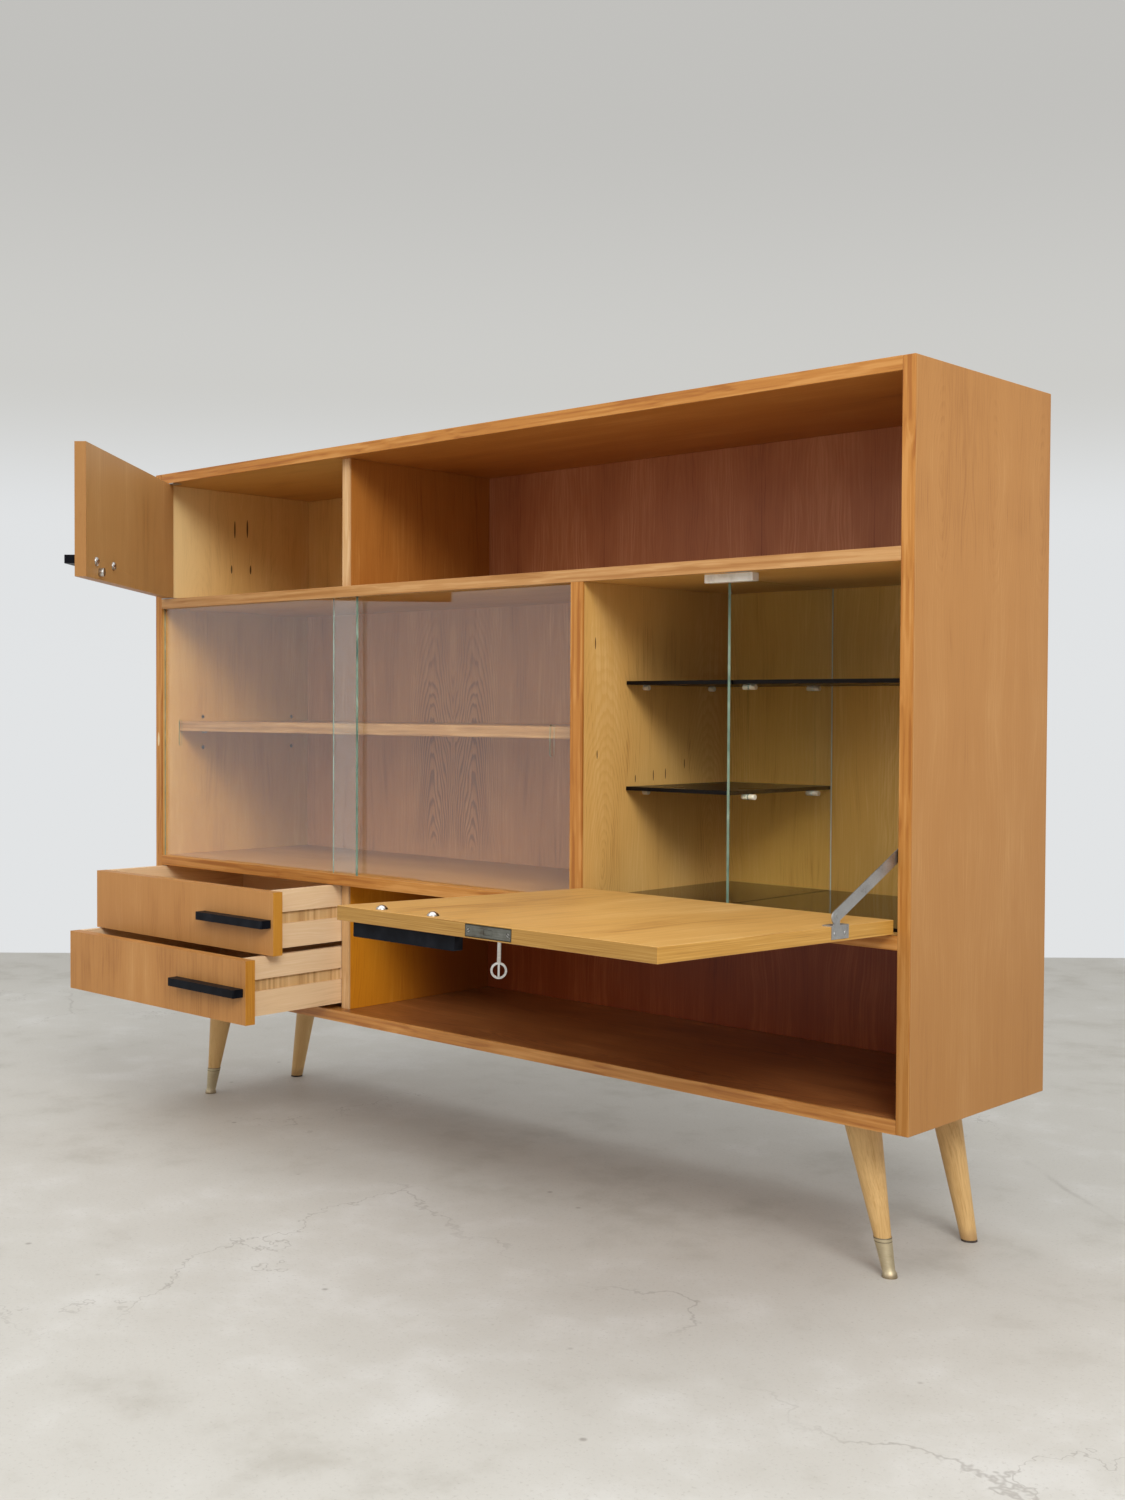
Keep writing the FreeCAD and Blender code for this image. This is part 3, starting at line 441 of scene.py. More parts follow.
def pin_holes(g, colour):
    """Dark shelf-pin holes above and below the pins, grimy round their rims."""
    low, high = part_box("display_shelf_pins")
    radius = (high.z - low.z) / 2
    half = (high.y - low.y) / 2 - radius
    off_y = g.minus(g.size(g.minus(g.along(Y), middle_of(low.y, high.y))), half)
    off_z = g.minus(g.size(g.minus(g.along(Z), low.z + radius)), HOLE_SPACING)
    hole = g.fall(g.away(off_y, off_z), *HOLE_RIM)
    walls = g.inside((-SIDE_IN - HOLE_DEPTH, None, LOWER_TOP),
                     (BAR_DIVIDER_LEFT + HOLE_DEPTH, None, MIDDLE_LOW))
    return g.cover(colour, g.times(hole, walls), 0.93, HOLE_DARK)


def holed_wall(g, colour, tone):
    """The glue line, on a wall with shelf-pin holes."""
    return glue_line(g, pin_holes(g, colour), tone)


# The chip in the left side's edge: distance from the inner face, share of the bay's height, half sizes and rim
CHIP_INSET, CHIP_HEIGHT = 10.5 * MM, 0.47
CHIP_HALF_WIDTH, CHIP_HALF_LENGTH, CHIP_RIM = 3.2 * MM, 15 * MM, (0.6, 1.0)


def edge_chip(g, colour):
    """A pale splinter lost from the left side's front edge."""
    ragged = g.grain(g.position(), (300.0, 300.0, 120.0))
    height = LOWER_TOP + CHIP_HEIGHT * (MIDDLE_LOW - LOWER_TOP)
    off_x = g.over(g.minus(g.along(X), -SIDE_IN - CHIP_INSET), CHIP_HALF_WIDTH)
    off_z = g.over(g.minus(g.along(Z), height), CHIP_HALF_LENGTH)
    away = g.plus(g.squares(off_x, off_z), g.centred(ragged))
    bare = g.times(g.fall(away, *CHIP_RIM), g.below(g.along(Y), FRONT + LIP))
    return g.cover(colour, bare, 0.75, SPLINTER)


# Where walls turn to another colour: painted light towards the door bay's front, painted shade towards a side's
# foot and towards the lower bay's back
LIT_FRONT_FADE = FRONT + 0.02, FRONT + 0.20
FOOT_SHADE_FADE = 0.2, 1.1
BACK_SHADE_RISE = FRONT + 0.06, FRONT + 0.27


def painted_lit_front(g, colour, tone):
    """A chipped, holed wall with painted light, paler towards the front of the door bay."""
    front = g.fall(g.along(Y), *LIT_FRONT_FADE)
    colour = g.cover(colour, g.times(front, g.inside(*DOOR_BAY)), 0.6, LIT_FRONT_PALE)
    return edge_chip(g, holed_wall(g, colour, tone))


def painted_foot_shade(g, colour, tone):
    """The glue line, on a side with painted shade that grows darker towards its foot."""
    foot = g.fall(g.along(Z), *FOOT_SHADE_FADE)
    return glue_line(g, g.cover(colour, foot, 0.24, FOOT_SHADE_BROWN), tone)


def painted_back_shade(g, colour, tone):
    """A wall with painted shade, redder and darker towards the back of the lower bay where the flap shades it.
    """
    deep = g.times(g.step(g.along(Y), *BACK_SHADE_RISE), g.inside(*LOWER_BAY))
    return g.cover(colour, deep, 0.8, BACK_SHADE_RED)


def edge_lip(front, tones):
    """A lipped front edge, as a box and its tones."""
    return ((None, None, None), (None, front + LIP, None)), tones


FRONT_LIP = edge_lip(FRONT, LIPPING)
UPRIGHT_LIP = edge_lip(UPRIGHT_FRONT, CREAM_LIP)

# Slits seen in the walls of the door bay and the bar, and their half width: all in millimetres
DOOR_BAY_SLITS = ((174, 1125, 27), (205, 1129, 28), (166, 1044, 13), (213, 1046, 14)), 2.1
BAR_SLITS = ((29, 864, 14), (34, 695, 10), (168, 660, 13), (198, 662, 13), (246, 677, 12), (124, 656, 9)), 1.2

INNER_PALE = ((UPPER_BAY, AMBER), (LOWER_BAY, AMBER), (DOOR_BAY, DOOR_BIRCH), (BAR_BAY, BIRCH),
              (DISPLAY_BAY, DISPLAY_WALL))
wood = {
    "left_side": veneer("veneer_left_side", Y, Z, 1.0, regions=INNER_PALE, lip=FRONT_LIP, extra=painted_lit_front,
                        marks=((DOOR_BAY, *DOOR_BAY_SLITS),), leaf=0.19, seam=FRONT + 0.1895, middle=0.8),
    "right_side": veneer("veneer_right_side", Y, Z, 2.6, regions=INNER_PALE, lip=FRONT_LIP, extra=painted_foot_shade,
                         leaf=0.138, seam=FRONT + 0.138, middle=1.06, tilt=0.20, figure=0.13, streak=0.38,
                         cloud=0.75, run=0.20),
    "top_board": veneer("veneer_top", Y, X, 3.1, regions=((UPPER_BAY, AMBER), (DOOR_BAY, FLAP_BIRCH)),
                        lip=FRONT_LIP, extra=glue_line, middle=-0.2),
    "middle_shelf": veneer("veneer_middle", Y, X, 4.3, regions=INNER_PALE, lip=edge_lip(FRONT, PALE_LIP),
                           extra=glue_line, middle=0.3),
    "lower_shelf": veneer("veneer_lower", Y, X, 5.2, regions=((BAR_BAY, BIRCH), (DISPLAY_BAY, DISPLAY_FLOOR)),
                          lip=FRONT_LIP, extra=glue_line, middle=-0.4),
    "bottom_board": veneer("veneer_bottom", Y, X, 6.7, regions=((LOWER_BAY, SHADED_UMBER),), lip=FRONT_LIP,
                           extra=glue_line, gloss=POLISHED, middle=0.2, tilt=0.10, figure=0.35, streak=0.8,
                           cloud=1.6, run=0.8),
    "upper_divider": veneer("veneer_upper_divider", Y, Z, 7.4,
                            regions=((UPPER_BAY, DEEP_AMBER), (DOOR_BAY, DOOR_BIRCH)), lip=UPRIGHT_LIP,
                            streak=0.55, figure=0.05),
    "bar_divider": veneer("veneer_bar_divider", Y, Z, 8.8, regions=((BAR_BAY, BIRCH),), lip=FRONT_LIP,
                          extra=holed_wall, marks=((BAR_BAY, *BAR_SLITS),), leaf=0.264, seam=FRONT + 0.182,
                          middle=0.52, tilt=0.25, figure=0.22, streak=0.55, cloud=1.2),
    "drawer_divider": veneer("veneer_drawer_divider", Y, Z, 9.5, regions=((LOWER_BAY, ORANGE),),
                             lip=UPRIGHT_LIP, extra=painted_back_shade),
    "display_shelf": veneer("veneer_display_shelf", Y, X, 10.1,
                            lip=edge_lip(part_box("display_shelf")[0].y, DIM_LIP)),
}

# The curl in the bar's back wall: lean and sway of its lines, how often they change across and upwards,
# which of them show, and where they set in
CURL_LEAN, CURL_SWAY, CURL_LINES, CURL_DRIFT = 0.22, 0.05, 130.0, 5.0
CURL_SHOWN, CURL_RISE = (0.44, 0.64), (BAR_LEFT + 0.26, BAR_LEFT + 0.42)


def bar_curl(g):
    """Pale wavy figure at the right of the bar's back wall."""
    height = g.along(Z)
    sway = g.grain(g.position(), (14.0, 1.0, 9.0), 2.0)
    slant = g.minus(g.along(X), g.times(height, CURL_LEAN))
    slant = g.plus(slant, g.times(sway, CURL_SWAY))
    lines = g.noise(g.combine(g.times(slant, CURL_LINES), 0.0, g.times(height, CURL_DRIFT)), 2.0)
    shown = g.times(g.step(lines, *CURL_SHOWN), g.step(g.along(X), *CURL_RISE))
    return g.times(shown, g.inside(*BAR_BAY))


# Screws round the back panel: distance from its edge, half their pitch and head radius, and a whole number of
# pitches that keeps the measure along a row above 0
BACK_SCREW_INSET, BACK_SCREW_HALF_PITCH, BACK_SCREW_RADIUS = 8 * MM, 0.06, 2.8 * MM
BACK_SCREW_SHIFT = 3.0


def back_face(g, colour, tone):
    """The curl on the panel's front, and its bare back, screwed along its edges."""
    low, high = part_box("back_panel")
    rear = g.above(g.along(Y), BACK_FACE - SKIN)
    shade = g.blend_of(g.mottle(420.0, 4.0, 0.7), 0.55, g.mottle(5.0, 5.0, 0.6), 0.45)
    bare = g.ramp(shade, BOARD_BROWN, spread(0.12))
    screws = []
    for axis, ends, row_axis in ((X, (low.x, high.x), Z), (Z, (low.z, high.z), X)):
        row = g.math("PINGPONG", g.plus(g.along(row_axis), BACK_SCREW_SHIFT), BACK_SCREW_HALF_PITCH)
        for end, way in zip(ends, (1, -1)):
            off = g.minus(g.along(axis), end + way * BACK_SCREW_INSET)
            screws.append(g.below(g.away(off, row), BACK_SCREW_RADIUS))
    bare = g.mix(reduce(g.either, screws), bare, SCREW_GREY)
    colour = g.cover(colour, bar_curl(g), 0.8, CURL)
    return g.mix(rear, colour, bare)


wood["back_panel"] = veneer(
    "veneer_back", X, Z, 11.9, RUSSET,
    ((LOWER_BAY, SHADED_MAROON), (DOOR_BAY, DOOR_BIRCH), (BAR_BAY, BAR_BIRCH), (DISPLAY_BAY, DISPLAY_RUSSET)),
    extra=back_face, gloss=DULLED, leaf=0.279, seam=-0.104, heart=0.8, middle=0.45, tilt=0.14, figure=0.65,
    streak=0.55, run=0.6, plain_below=LOWER_TOP)


def door_faces(g, colour, tone):
    """Paler inner face and a lipped free edge on the small door."""
    inner = g.above(g.along(-DOOR_OUT), reach("upper_door", -DOOR_OUT)[1] - SKIN)
    colour = g.mix(inner, colour, g.ramp(tone, DOOR_INNER))
    edge = g.above(g.along(DOOR_ACROSS), reach("upper_door", DOOR_ACROSS)[1] - SKIN)
    return g.mix(edge, colour, g.ramp(tone, DOOR_LIP))


def end_faces(g, node):
    """1 on the left and right ends of a node."""
    left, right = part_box(node)[0].x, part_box(node)[1].x
    return g.inverse(g.within(g.along(X), left + SKIN, right - SKIN))


# Lines in the flap's lipping: how often they change along the edge and through its thickness
STRIP_ALONG, STRIP_THROUGH = 9.0, 900.0


def flap_faces(g, colour, tone):
    """Paler inner face and lipped edges on the flap."""
    outer, inner = reach("flap", FLAP_IN)
    height = g.along(FLAP_IN)
    face = g.above(height, inner - SKIN)
    colour = g.mix(face, colour, g.ramp(tone, FLAP_BIRCH))
    free = g.above(g.along(FLAP_UP), reach("flap", FLAP_UP)[1] - SKIN)
    sides = end_faces(g, "flap")
    edge = g.times(g.either(free, sides), g.within(height, outer + SKIN, inner - SKIN))
    lines = g.noise(g.combine(g.times(g.along(X), STRIP_ALONG), g.times(g.along(FLAP_UP), STRIP_ALONG),
                              g.times(height, STRIP_THROUGH)))
    strips = g.mix(sides, g.ramp(lines, FLAP_LIP, spread(0.25)), g.ramp(lines, FLAP_END, spread(0.25)))
    return g.mix(edge, colour, strips)


def front_edges(node):
    """Lipped ends on a drawer front."""
    def paint(g, colour, tone):
        return g.mix(end_faces(g, node), colour, g.ramp(tone, GOLDEN))
    return paint


wood["upper_door"] = veneer("veneer_door", DOOR_ACROSS, Z, 12.3, extra=door_faces, streak=0.4)
wood["flap"] = veneer("veneer_flap", X, FLAP_UP, 13.8, extra=flap_faces, leaf=0.27, figure=0.16, streak=0.8)
for seed, node in ((14.2, "upper_drawer_front"), (14.9, "lower_drawer_front")):
    wood[node] = veneer(f"veneer_{node}", X, Z, seed, extra=front_edges(node), figure=0.03)


def solid_wood(name, across, along, seed, tones, extra=None):
    """A piece of solid wood, plain and straight in the grain."""
    material, g = new_graph(name)
    tone, pores, _ = wood_tone(g, across, along, seed, leaf=0.7, seam=-0.3, figure=0.0, streak=0.5, pore=0.5)
    colour = g.ramp(tone, tones)
    if extra:
        colour = extra(g, colour, tone)
    finish_wood(g, colour, pores, *SOLID_WOOD)
    return material


# Bare core in a drawer side's groove: where it starts and ends from the outside, its limits below the upper
# edge, the width of its strips, and how often their grain changes across and upwards
GROOVE_START, GROOVE_END = 4 * MM, 8 * MM
GROOVE_LOW, GROOVE_HIGH = 60 * MM, 35 * MM
STRIP_WIDTH = 4.6 * MM
CORE_ACROSS, CORE_UP = 700.0, 14.0


def core_strips(drawer, side):
    """The strips of the board's core showing in a drawer side's groove."""
    low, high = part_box(f"{drawer}_drawer_{side}_side")

    def paint(g, colour, tone):
        u, x = g.along(Y), g.along(X)
        strip = g.chance(g.math("FLOOR", g.over(u, STRIP_WIDTH)))
        fine = g.noise(g.combine(g.times(u, CORE_ACROSS), 0.0, g.times(g.along(Z), CORE_UP)), 2.0)
        core = g.ramp(g.blend_of(strip, 0.6, fine, 0.4), CORE_STRIPS)
        if side == "left":
            depth = g.times(g.above(x, low.x + GROOVE_START), g.below(x, low.x + GROOVE_END))
        else:
            depth = g.times(g.below(x, high.x - GROOVE_START), g.above(x, high.x - GROOVE_END))
        groove = g.within(g.along(Z), high.z - GROOVE_LOW, high.z - GROOVE_HIGH)
        return g.mix(g.times(depth, groove), colour, core)
    return paint


for seed, drawer in ((20.0, "upper"), (21.0, "lower")):
    for side in ("left", "right"):
        node = f"{drawer}_drawer_{side}_side"
        wood[node] = solid_wood(f"beech_{node}", Z, Y, seed, BEECH, core_strips(drawer, side))
    wood[f"{drawer}_drawer_back"] = solid_wood(f"beech_{drawer}_back", Z, X, seed + 0.4, BEECH)
    wood[f"{drawer}_drawer_bottom"] = solid_wood(f"birch_{drawer}_bottom", Y, X, seed + 0.7, BIRCH)
wood["drawer_runners"] = solid_wood("beech_runners", Z, Y, 22.0, BEECH)

# Legs: how far the foot stands out over the leg's height, and where a worn tip fades
LEG_SPLAY, LEG_HEIGHT = 48.0, 216.0
TIP_FADE, TIP_RAGGED = (0.018, 0.034), 0.02


def leg_foot(g, colour, tone):
    """Darkened, worn tip of a plain rear leg."""
    wear = g.grain(g.position(), (90.0, 90.0, 40.0))
    height = g.plus(g.along(Z), g.times(wear, TIP_RAGGED))
    return g.cover(colour, g.fall(height, *TIP_FADE), 0.35, WORN_TIP)


for seed, (node, lean) in enumerate((("front_left_leg", -1), ("front_right_leg", 1),
                                     ("rear_left_leg", -1), ("rear_right_leg", 1))):
    along = Vector((-lean * LEG_SPLAY, 0, LEG_HEIGHT)).normalized()
    worn = leg_foot if node.startswith("rear") else None
    wood[node] = solid_wood(f"beech_{node}", along.cross(Y).normalized(), along, 30.0 + seed, LEG_BEECH, worn)

# Tones of the other finishes, from dark to light
LACQUER_BLACK = ((0.003, 0.003, 0.005), (0.005, 0.006, 0.009), (0.011, 0.012, 0.017))
STEEL = ((0.27, 0.262, 0.252), (0.39, 0.385, 0.375), (0.50, 0.495, 0.485))
LOCK_STEEL = ((0.085, 0.070, 0.052), (0.145, 0.145, 0.125), (0.235, 0.235, 0.210))
CHROME = ((0.60, 0.585, 0.57), (0.74, 0.73, 0.715), (0.83, 0.825, 0.82))
NICKEL = ((0.34, 0.325, 0.295), (0.50, 0.48, 0.445), (0.63, 0.615, 0.585))
BRASS = ((0.47, 0.385, 0.245), (0.56, 0.475, 0.315), (0.63, 0.55, 0.385))
WHITE_PLASTIC = ((0.66, 0.63, 0.56), (0.80, 0.78, 0.72), (0.86, 0.85, 0.80))
CREAM_PLASTIC = ((0.66, 0.59, 0.44), (0.80, 0.75, 0.61), (0.86, 0.83, 0.72))
SOLE_BROWN = ((0.018, 0.012, 0.009), (0.040, 0.026, 0.018), (0.075, 0.050, 0.036))
GLASS_GREEN = ((0.095, 0.165, 0.125), (0.175, 0.270, 0.205), (0.290, 0.395, 0.310))
GLASS_PALE = ((0.620, 0.760, 0.640), (0.740, 0.860, 0.750), (0.820, 0.910, 0.830))
GLASS_BLACK = ((0.005, 0.004, 0.004), (0.009, 0.007, 0.006), (0.040, 0.034, 0.028))

# Clear glass, and the light that passes it
GLASS_CLEAR, GLASS_PASSED = (0.965, 0.985, 0.975), (0.965, 0.98, 0.97)

# Single colours of marks on metal
SCREW_HEAD = (0.36, 0.355, 0.33)
PLATE_EDGE = (0.045, 0.036, 0.026)
SLOT_DARK = (0.035, 0.030, 0.026)
RING_DARK = (0.10, 0.075, 0.045)
TARNISH = (0.24, 0.17, 0.11)
# Painted reflection: dark surroundings seen low on the flanks of chrome domes
DARK_REFLECTION = (0.085, 0.070, 0.060)


def black_lacquer():
    """Satin black lacquer with dust and fine handling marks."""
    material, g = new_graph("black_lacquer")
    marks = g.grain(g.position(), (60.0, 60.0, 900.0), 4.0)
    g.surface(g.principled({
        "Base Color": g.ramp(g.mottle(38.0), LACQUER_BLACK, (0.3, 0.5, 0.75)),
        "Roughness": g.range(marks, 0.30, 0.55), "Specular IOR Level": 0.06,
        "Normal": g.bump(marks, 0.05 * MM, 0.4)}))
    return material


def metal(name, tones, roughness, stretch, bump=0.03, extra=None):
    """Bare metal with brushing or tarnish along the stretched noise."""
    material, g = new_graph(name)
    brush = g.grain(g.position(), stretch, 4.0, 0.6)
    tone = g.blend_of(brush, 0.45, g.mottle(55.0, 4.0), 0.55)
    colour = g.ramp(tone, tones, spread(0.18))
    if extra:
        colour = extra(g, colour)
    g.surface(g.principled({
        "Base Color": colour, "Metallic": 1.0, "Roughness": g.range(tone, *roughness),
        "Normal": g.bump(brush, bump * MM, 0.5)}))
    return material


# Screws of the lock's plate: place from its middle, head, rim and half slot, the slot's direction, and the
# plate's dark outline
PLATE_SCREW_OFFSET = 33.5 * MM
PLATE_SCREW_HEAD, PLATE_SCREW_RIM, PLATE_SCREW_SLOT = 2.6 * MM, 3.2 * MM, 0.45 * MM
PLATE_SLOT_X, PLATE_SLOT_Z = 0.5, 0.86
PLATE_OUTLINE = 1.2 * MM


def plate_screws(g, colour):
    """Two countersunk slotted screws in the lock's face plate, which is dark along its outline."""
    low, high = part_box("flap_lock")
    bottom, top = reach("flap_lock", FLAP_IN)
    from_middle = g.size(g.minus(g.along(X), middle_of(low.x, high.x)))
    off_z = g.minus(g.along(FLAP_IN), middle_of(bottom, top))
    off_x = g.minus(from_middle, PLATE_SCREW_OFFSET)
    away = g.away(off_x, off_z)
    head = g.below(away, PLATE_SCREW_HEAD)
    rim = g.within(away, PLATE_SCREW_HEAD, PLATE_SCREW_RIM)
    turn = g.blend_of(off_x, PLATE_SLOT_X, off_z, PLATE_SLOT_Z)
    slot = g.times(g.below(g.size(turn), PLATE_SCREW_SLOT), head)
    colour = g.cover(colour, head, 0.6, SCREW_HEAD)
    clear_x = g.below(from_middle, (high.x - low.x) / 2 - PLATE_OUTLINE)
    clear_z = g.below(g.size(off_z), (top - bottom) / 2 - PLATE_OUTLINE)
    colour = g.cover(colour, g.inverse(g.times(clear_x, clear_z)), 0.8, PLATE_EDGE)
    return g.mix(g.either(rim, slot), colour, SLOT_DARK)


# Lines turned into a ferrule, as lower and upper distance from its top, and where its tarnished foot fades
FERRULE_LINES = (1.6 * MM, 0.0), (6.2 * MM, 5.0 * MM)
FERRULE_FOOT = 3 * MM, 9 * MM


def ferrule_rings(g, colour):
    """Two dark turned lines at the top of a ferrule, and a tarnished foot."""
    low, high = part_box("front_ferrules")
    height = g.along(Z)
    rings = g.either(*(g.within(height, high.z - lower, high.z - upper) for lower, upper in FERRULE_LINES))
    colour = g.cover(colour, rings, 0.7, RING_DARK)
    foot = g.fall(height, *(low.z + limit for limit in FERRULE_FOOT))
    return g.cover(colour, foot, 0.55, TARNISH)


def painted_dark_flanks(axis):
    """Painted dark reflection low on the flanks of a knob or dome that stands along an axis."""
    def paint(g, colour):
        return g.cover(colour, g.fall(g.facing(axis), 0.15, 0.75), 0.88, DARK_REFLECTION)
    return paint


def plastic(name, tones, roughness):
    """Moulded plastic, slightly mottled."""
    material, g = new_graph(name)
    mottle = g.mottle(240.0)
    g.surface(g.principled({
        "Base Color": g.ramp(g.mottle(60.0), tones, spread(0.2)), "Roughness": g.range(mottle, *roughness),
        "Subsurface Weight": 0.08, "Subsurface Scale": 0.002, "Normal": g.bump(mottle, 0.03 * MM, 0.3)}))
    return material


def clear_glass(name, face, bright_from):
    """Float glass: clear through its faces and green at its edges, with lamps let through.

    Edges behind the depth given glow paler, as they do where light is led through the pane.
    """
    material, g = new_graph(name)
    smear = g.step(g.mottle(7.0), 0.45, 0.75)
    glass = g.principled({
        "Base Color": (*GLASS_CLEAR, 1.0), "Roughness": g.range(smear, 0.0, 0.03),
        "IOR": 1.5, "Transmission Weight": 1.0})
    band = g.mottle(30.0, 2.0)
    green, pale = (g.ramp(band, tones, spread(0.2)) for tones in (GLASS_GREEN, GLASS_PALE))
    tint = g.mix(g.above(g.along(Y), bright_from), green, pale)
    edge = g.principled({"Base Color": tint, "Roughness": 0.2, "Specular IOR Level": 0.3})
    open_way = g.add("ShaderNodeBsdfTransparent", {"Color": (*GLASS_PASSED, 1.0)})
    shadow = g.add("ShaderNodeLightPath").outputs["Is Shadow Ray"]
    pane = g.add("ShaderNodeMixShader", {0: shadow, 1: glass.outputs[0], 2: open_way.outputs[0]})
    on_edge = g.below(g.facing(face), 0.6)
    g.surface(g.add("ShaderNodeMixShader", {0: on_edge, 1: pane.outputs[0], 2: edge.outputs[0]}))
    return material


def black_glass(name, film_range, specular):
    """Black glass with a little dust."""
    material, g = new_graph(name)
    dust = g.mottle(320.0, 4.0, 0.7)
    g.surface(g.principled({
        "Base Color": g.ramp(dust, GLASS_BLACK, (0.4, 0.6, 0.8)),
        "Roughness": g.range(g.mottle(9.0), *film_range), "Specular IOR Level": specular}))
    return material


MOULDED = 0.38, 0.58
CHROME_LOOK = CHROME, (0.07, 0.20), (200.0, 200.0, 200.0), 0.01
steel = metal("brushed_steel", STEEL, (0.40, 0.60), (40.0, 300.0, 900.0))
lock_steel = metal("lock_plate_steel", LOCK_STEEL, (0.36, 0.60), (30.0, 500.0, 900.0), extra=plate_screws)
door_chrome = metal("chrome_door", *CHROME_LOOK, painted_dark_flanks(DOOR_OUT))
flap_chrome = metal("chrome_flap", *CHROME_LOOK, painted_dark_flanks(FLAP_IN))
nickel = metal("worn_nickel", NICKEL, (0.20, 0.40), (150.0, 150.0, 400.0), 0.02)
brass = metal("dull_brass", BRASS, (0.46, 0.62), (120.0, 120.0, 700.0), extra=ferrule_rings)
white = plastic("white_plastic", WHITE_PLASTIC, MOULDED)
cream = plastic("cream_plastic", CREAM_PLASTIC, MOULDED)
sole = plastic("dark_sole", SOLE_BROWN, (0.6, 0.85))
lacquer = black_lacquer()
pane_glass = clear_glass("pane_glass", Y, BACK_FACE)
partition_glass = clear_glass("partition_glass", X,
                              middle_of(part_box("bar_partition")[0].y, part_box("bar_partition")[1].y))
dark_glass = black_glass("black_glass_floor", (0.015, 0.08), 0.14)
shelf_glass = black_glass("black_glass_shelf", (0.22, 0.34), 0.05)

# Finishes other than wood: how far edges are softened, in millimetres, and the nodes
other = {
    lacquer: (1.3, ("door_handle", "flap_handle", "upper_drawer_handle", "lower_drawer_handle")),
    pane_glass: (0.4, ("glass_left", "glass_right")),
    partition_glass: (0.4, ("bar_partition",)),
    dark_glass: (0.5, ("bar_floor_left", "bar_floor_right")),
    shelf_glass: (0.5, ("bar_shelf_upper_left", "bar_shelf_upper_right", "bar_shelf_lower")),
    cream: (1.0, ("bar_shelf_pegs", "door_catch_plate")),
    white: (1.0, ("flap_stop_block",)),
    sole: (0.4, ("rear_leg_soles",)),
    brass: (0.3, ("front_ferrules",)),
    lock_steel: (0.25, ("flap_lock", "lock_bolt")),
    door_chrome: (1.2, ("door_handle_screws",)),
    flap_chrome: (1.2, ("flap_handle_screws",)),
    nickel: (0.5, ("key", "door_catch_stud")),
    steel: (0.2, ("display_shelf_pins", "door_pivots", "carcass_hinge_leaves", "flap_hinge_leaves",
                  "lock_strike_plate", "stay_bracket", "stay_arm", "stay_rail")),
}
WOOD_EDGE, DRAWER_EDGE = 0.8, 2.0
finishes = {node: (material, DRAWER_EDGE if node.endswith("drawer_front") else WOOD_EDGE)
            for node, material in wood.items()}
for material, (edge_width, names) in other.items():
    for node in names:
        finishes[node] = material, edge_width


# Corners nearer than this are joined, and edges sharper than this are rounded
WELD_GAP, SHARP_ANGLE = 0.01 * MM, math.radians(35)


def soften(obj, width):
    """Joins a node's split corners and rounds its sharp edges a little."""
    weld = obj.modifiers.new("weld", "WELD")
    weld.merge_threshold = WELD_GAP
    bevel = obj.modifiers.new("bevel", "BEVEL")
    bevel.width = width * MM
    bevel.segments = 2
    bevel.limit_method = "ANGLE"
    bevel.angle_limit = SHARP_ANGLE
    bevel.harden_normals = True


for name, obj in nodes.items():
    material, edge_width = finishes[name]
    obj.data.materials.clear()
    obj.data.materials.append(material)
    soften(obj, edge_width)


def add_piece(name, mesh, body, material):
    """Links a mesh as a piece that rides on a body."""
    mesh.materials.append(material)
    piece = bpy.data.objects.new(name, mesh)
    scene.collection.objects.link(piece)
    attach(piece, body)
    return piece


# A slotted screw: heights of its rim and head, and shares of its radius
RIM_HEIGHT, HEAD_HEIGHT = 0.2 * MM, 0.5 * MM
RIM_TAPER, HEAD_SHARE, SLOT_SHARE, HEAD_TAPER = 0.96, 0.86, 0.14, 0.9
HEAD_STEPS = 12


def slotted_screw(name, centre, out, turn, radius, body):
    """A countersunk screw head: a rim with two raised halves beside its slot."""
    bm = bmesh.new()
    base = bmesh.ops.create_cone(bm, cap_ends=True, segments=32, radius1=radius, radius2=radius * RIM_TAPER,
                                 depth=RIM_HEIGHT)["verts"]
    bmesh.ops.translate(bm, verts=base, vec=(0, 0, RIM_HEIGHT / 2))
    gap, head = radius * SLOT_SHARE, radius * HEAD_SHARE
    start = math.asin(gap / head)
    angles = [start + (math.pi - 2 * start) * step / HEAD_STEPS for step in range(HEAD_STEPS + 1)]
    for side in (1, -1):
        rim = [Vector((math.cos(angle) * head, side * math.sin(angle) * head, RIM_HEIGHT)) for angle in angles]
        top = [Vector((p.x * HEAD_TAPER, (p.y - side * gap) * HEAD_TAPER + side * gap, HEAD_HEIGHT))
               for p in rim]
        low_verts = [bm.verts.new(p) for p in rim]
        top_verts = [bm.verts.new(p) for p in top]
        bm.faces.new(top_verts)
        for i in range(len(rim)):
            j = (i + 1) % len(rim)
            bm.faces.new((low_verts[i], low_verts[j], top_verts[j], top_verts[i]))
    bmesh.ops.recalc_face_normals(bm, faces=bm.faces)
    mesh = bpy.data.meshes.new(name)
    facing = out.to_track_quat("Z", "Y").to_matrix() @ Matrix.Rotation(turn, 3, "Z")
    bm.transform(Matrix.Translation(centre) @ facing.to_4x4())
    bm.to_mesh(mesh)
    bm.free()
    return add_piece(name, mesh, body, steel)


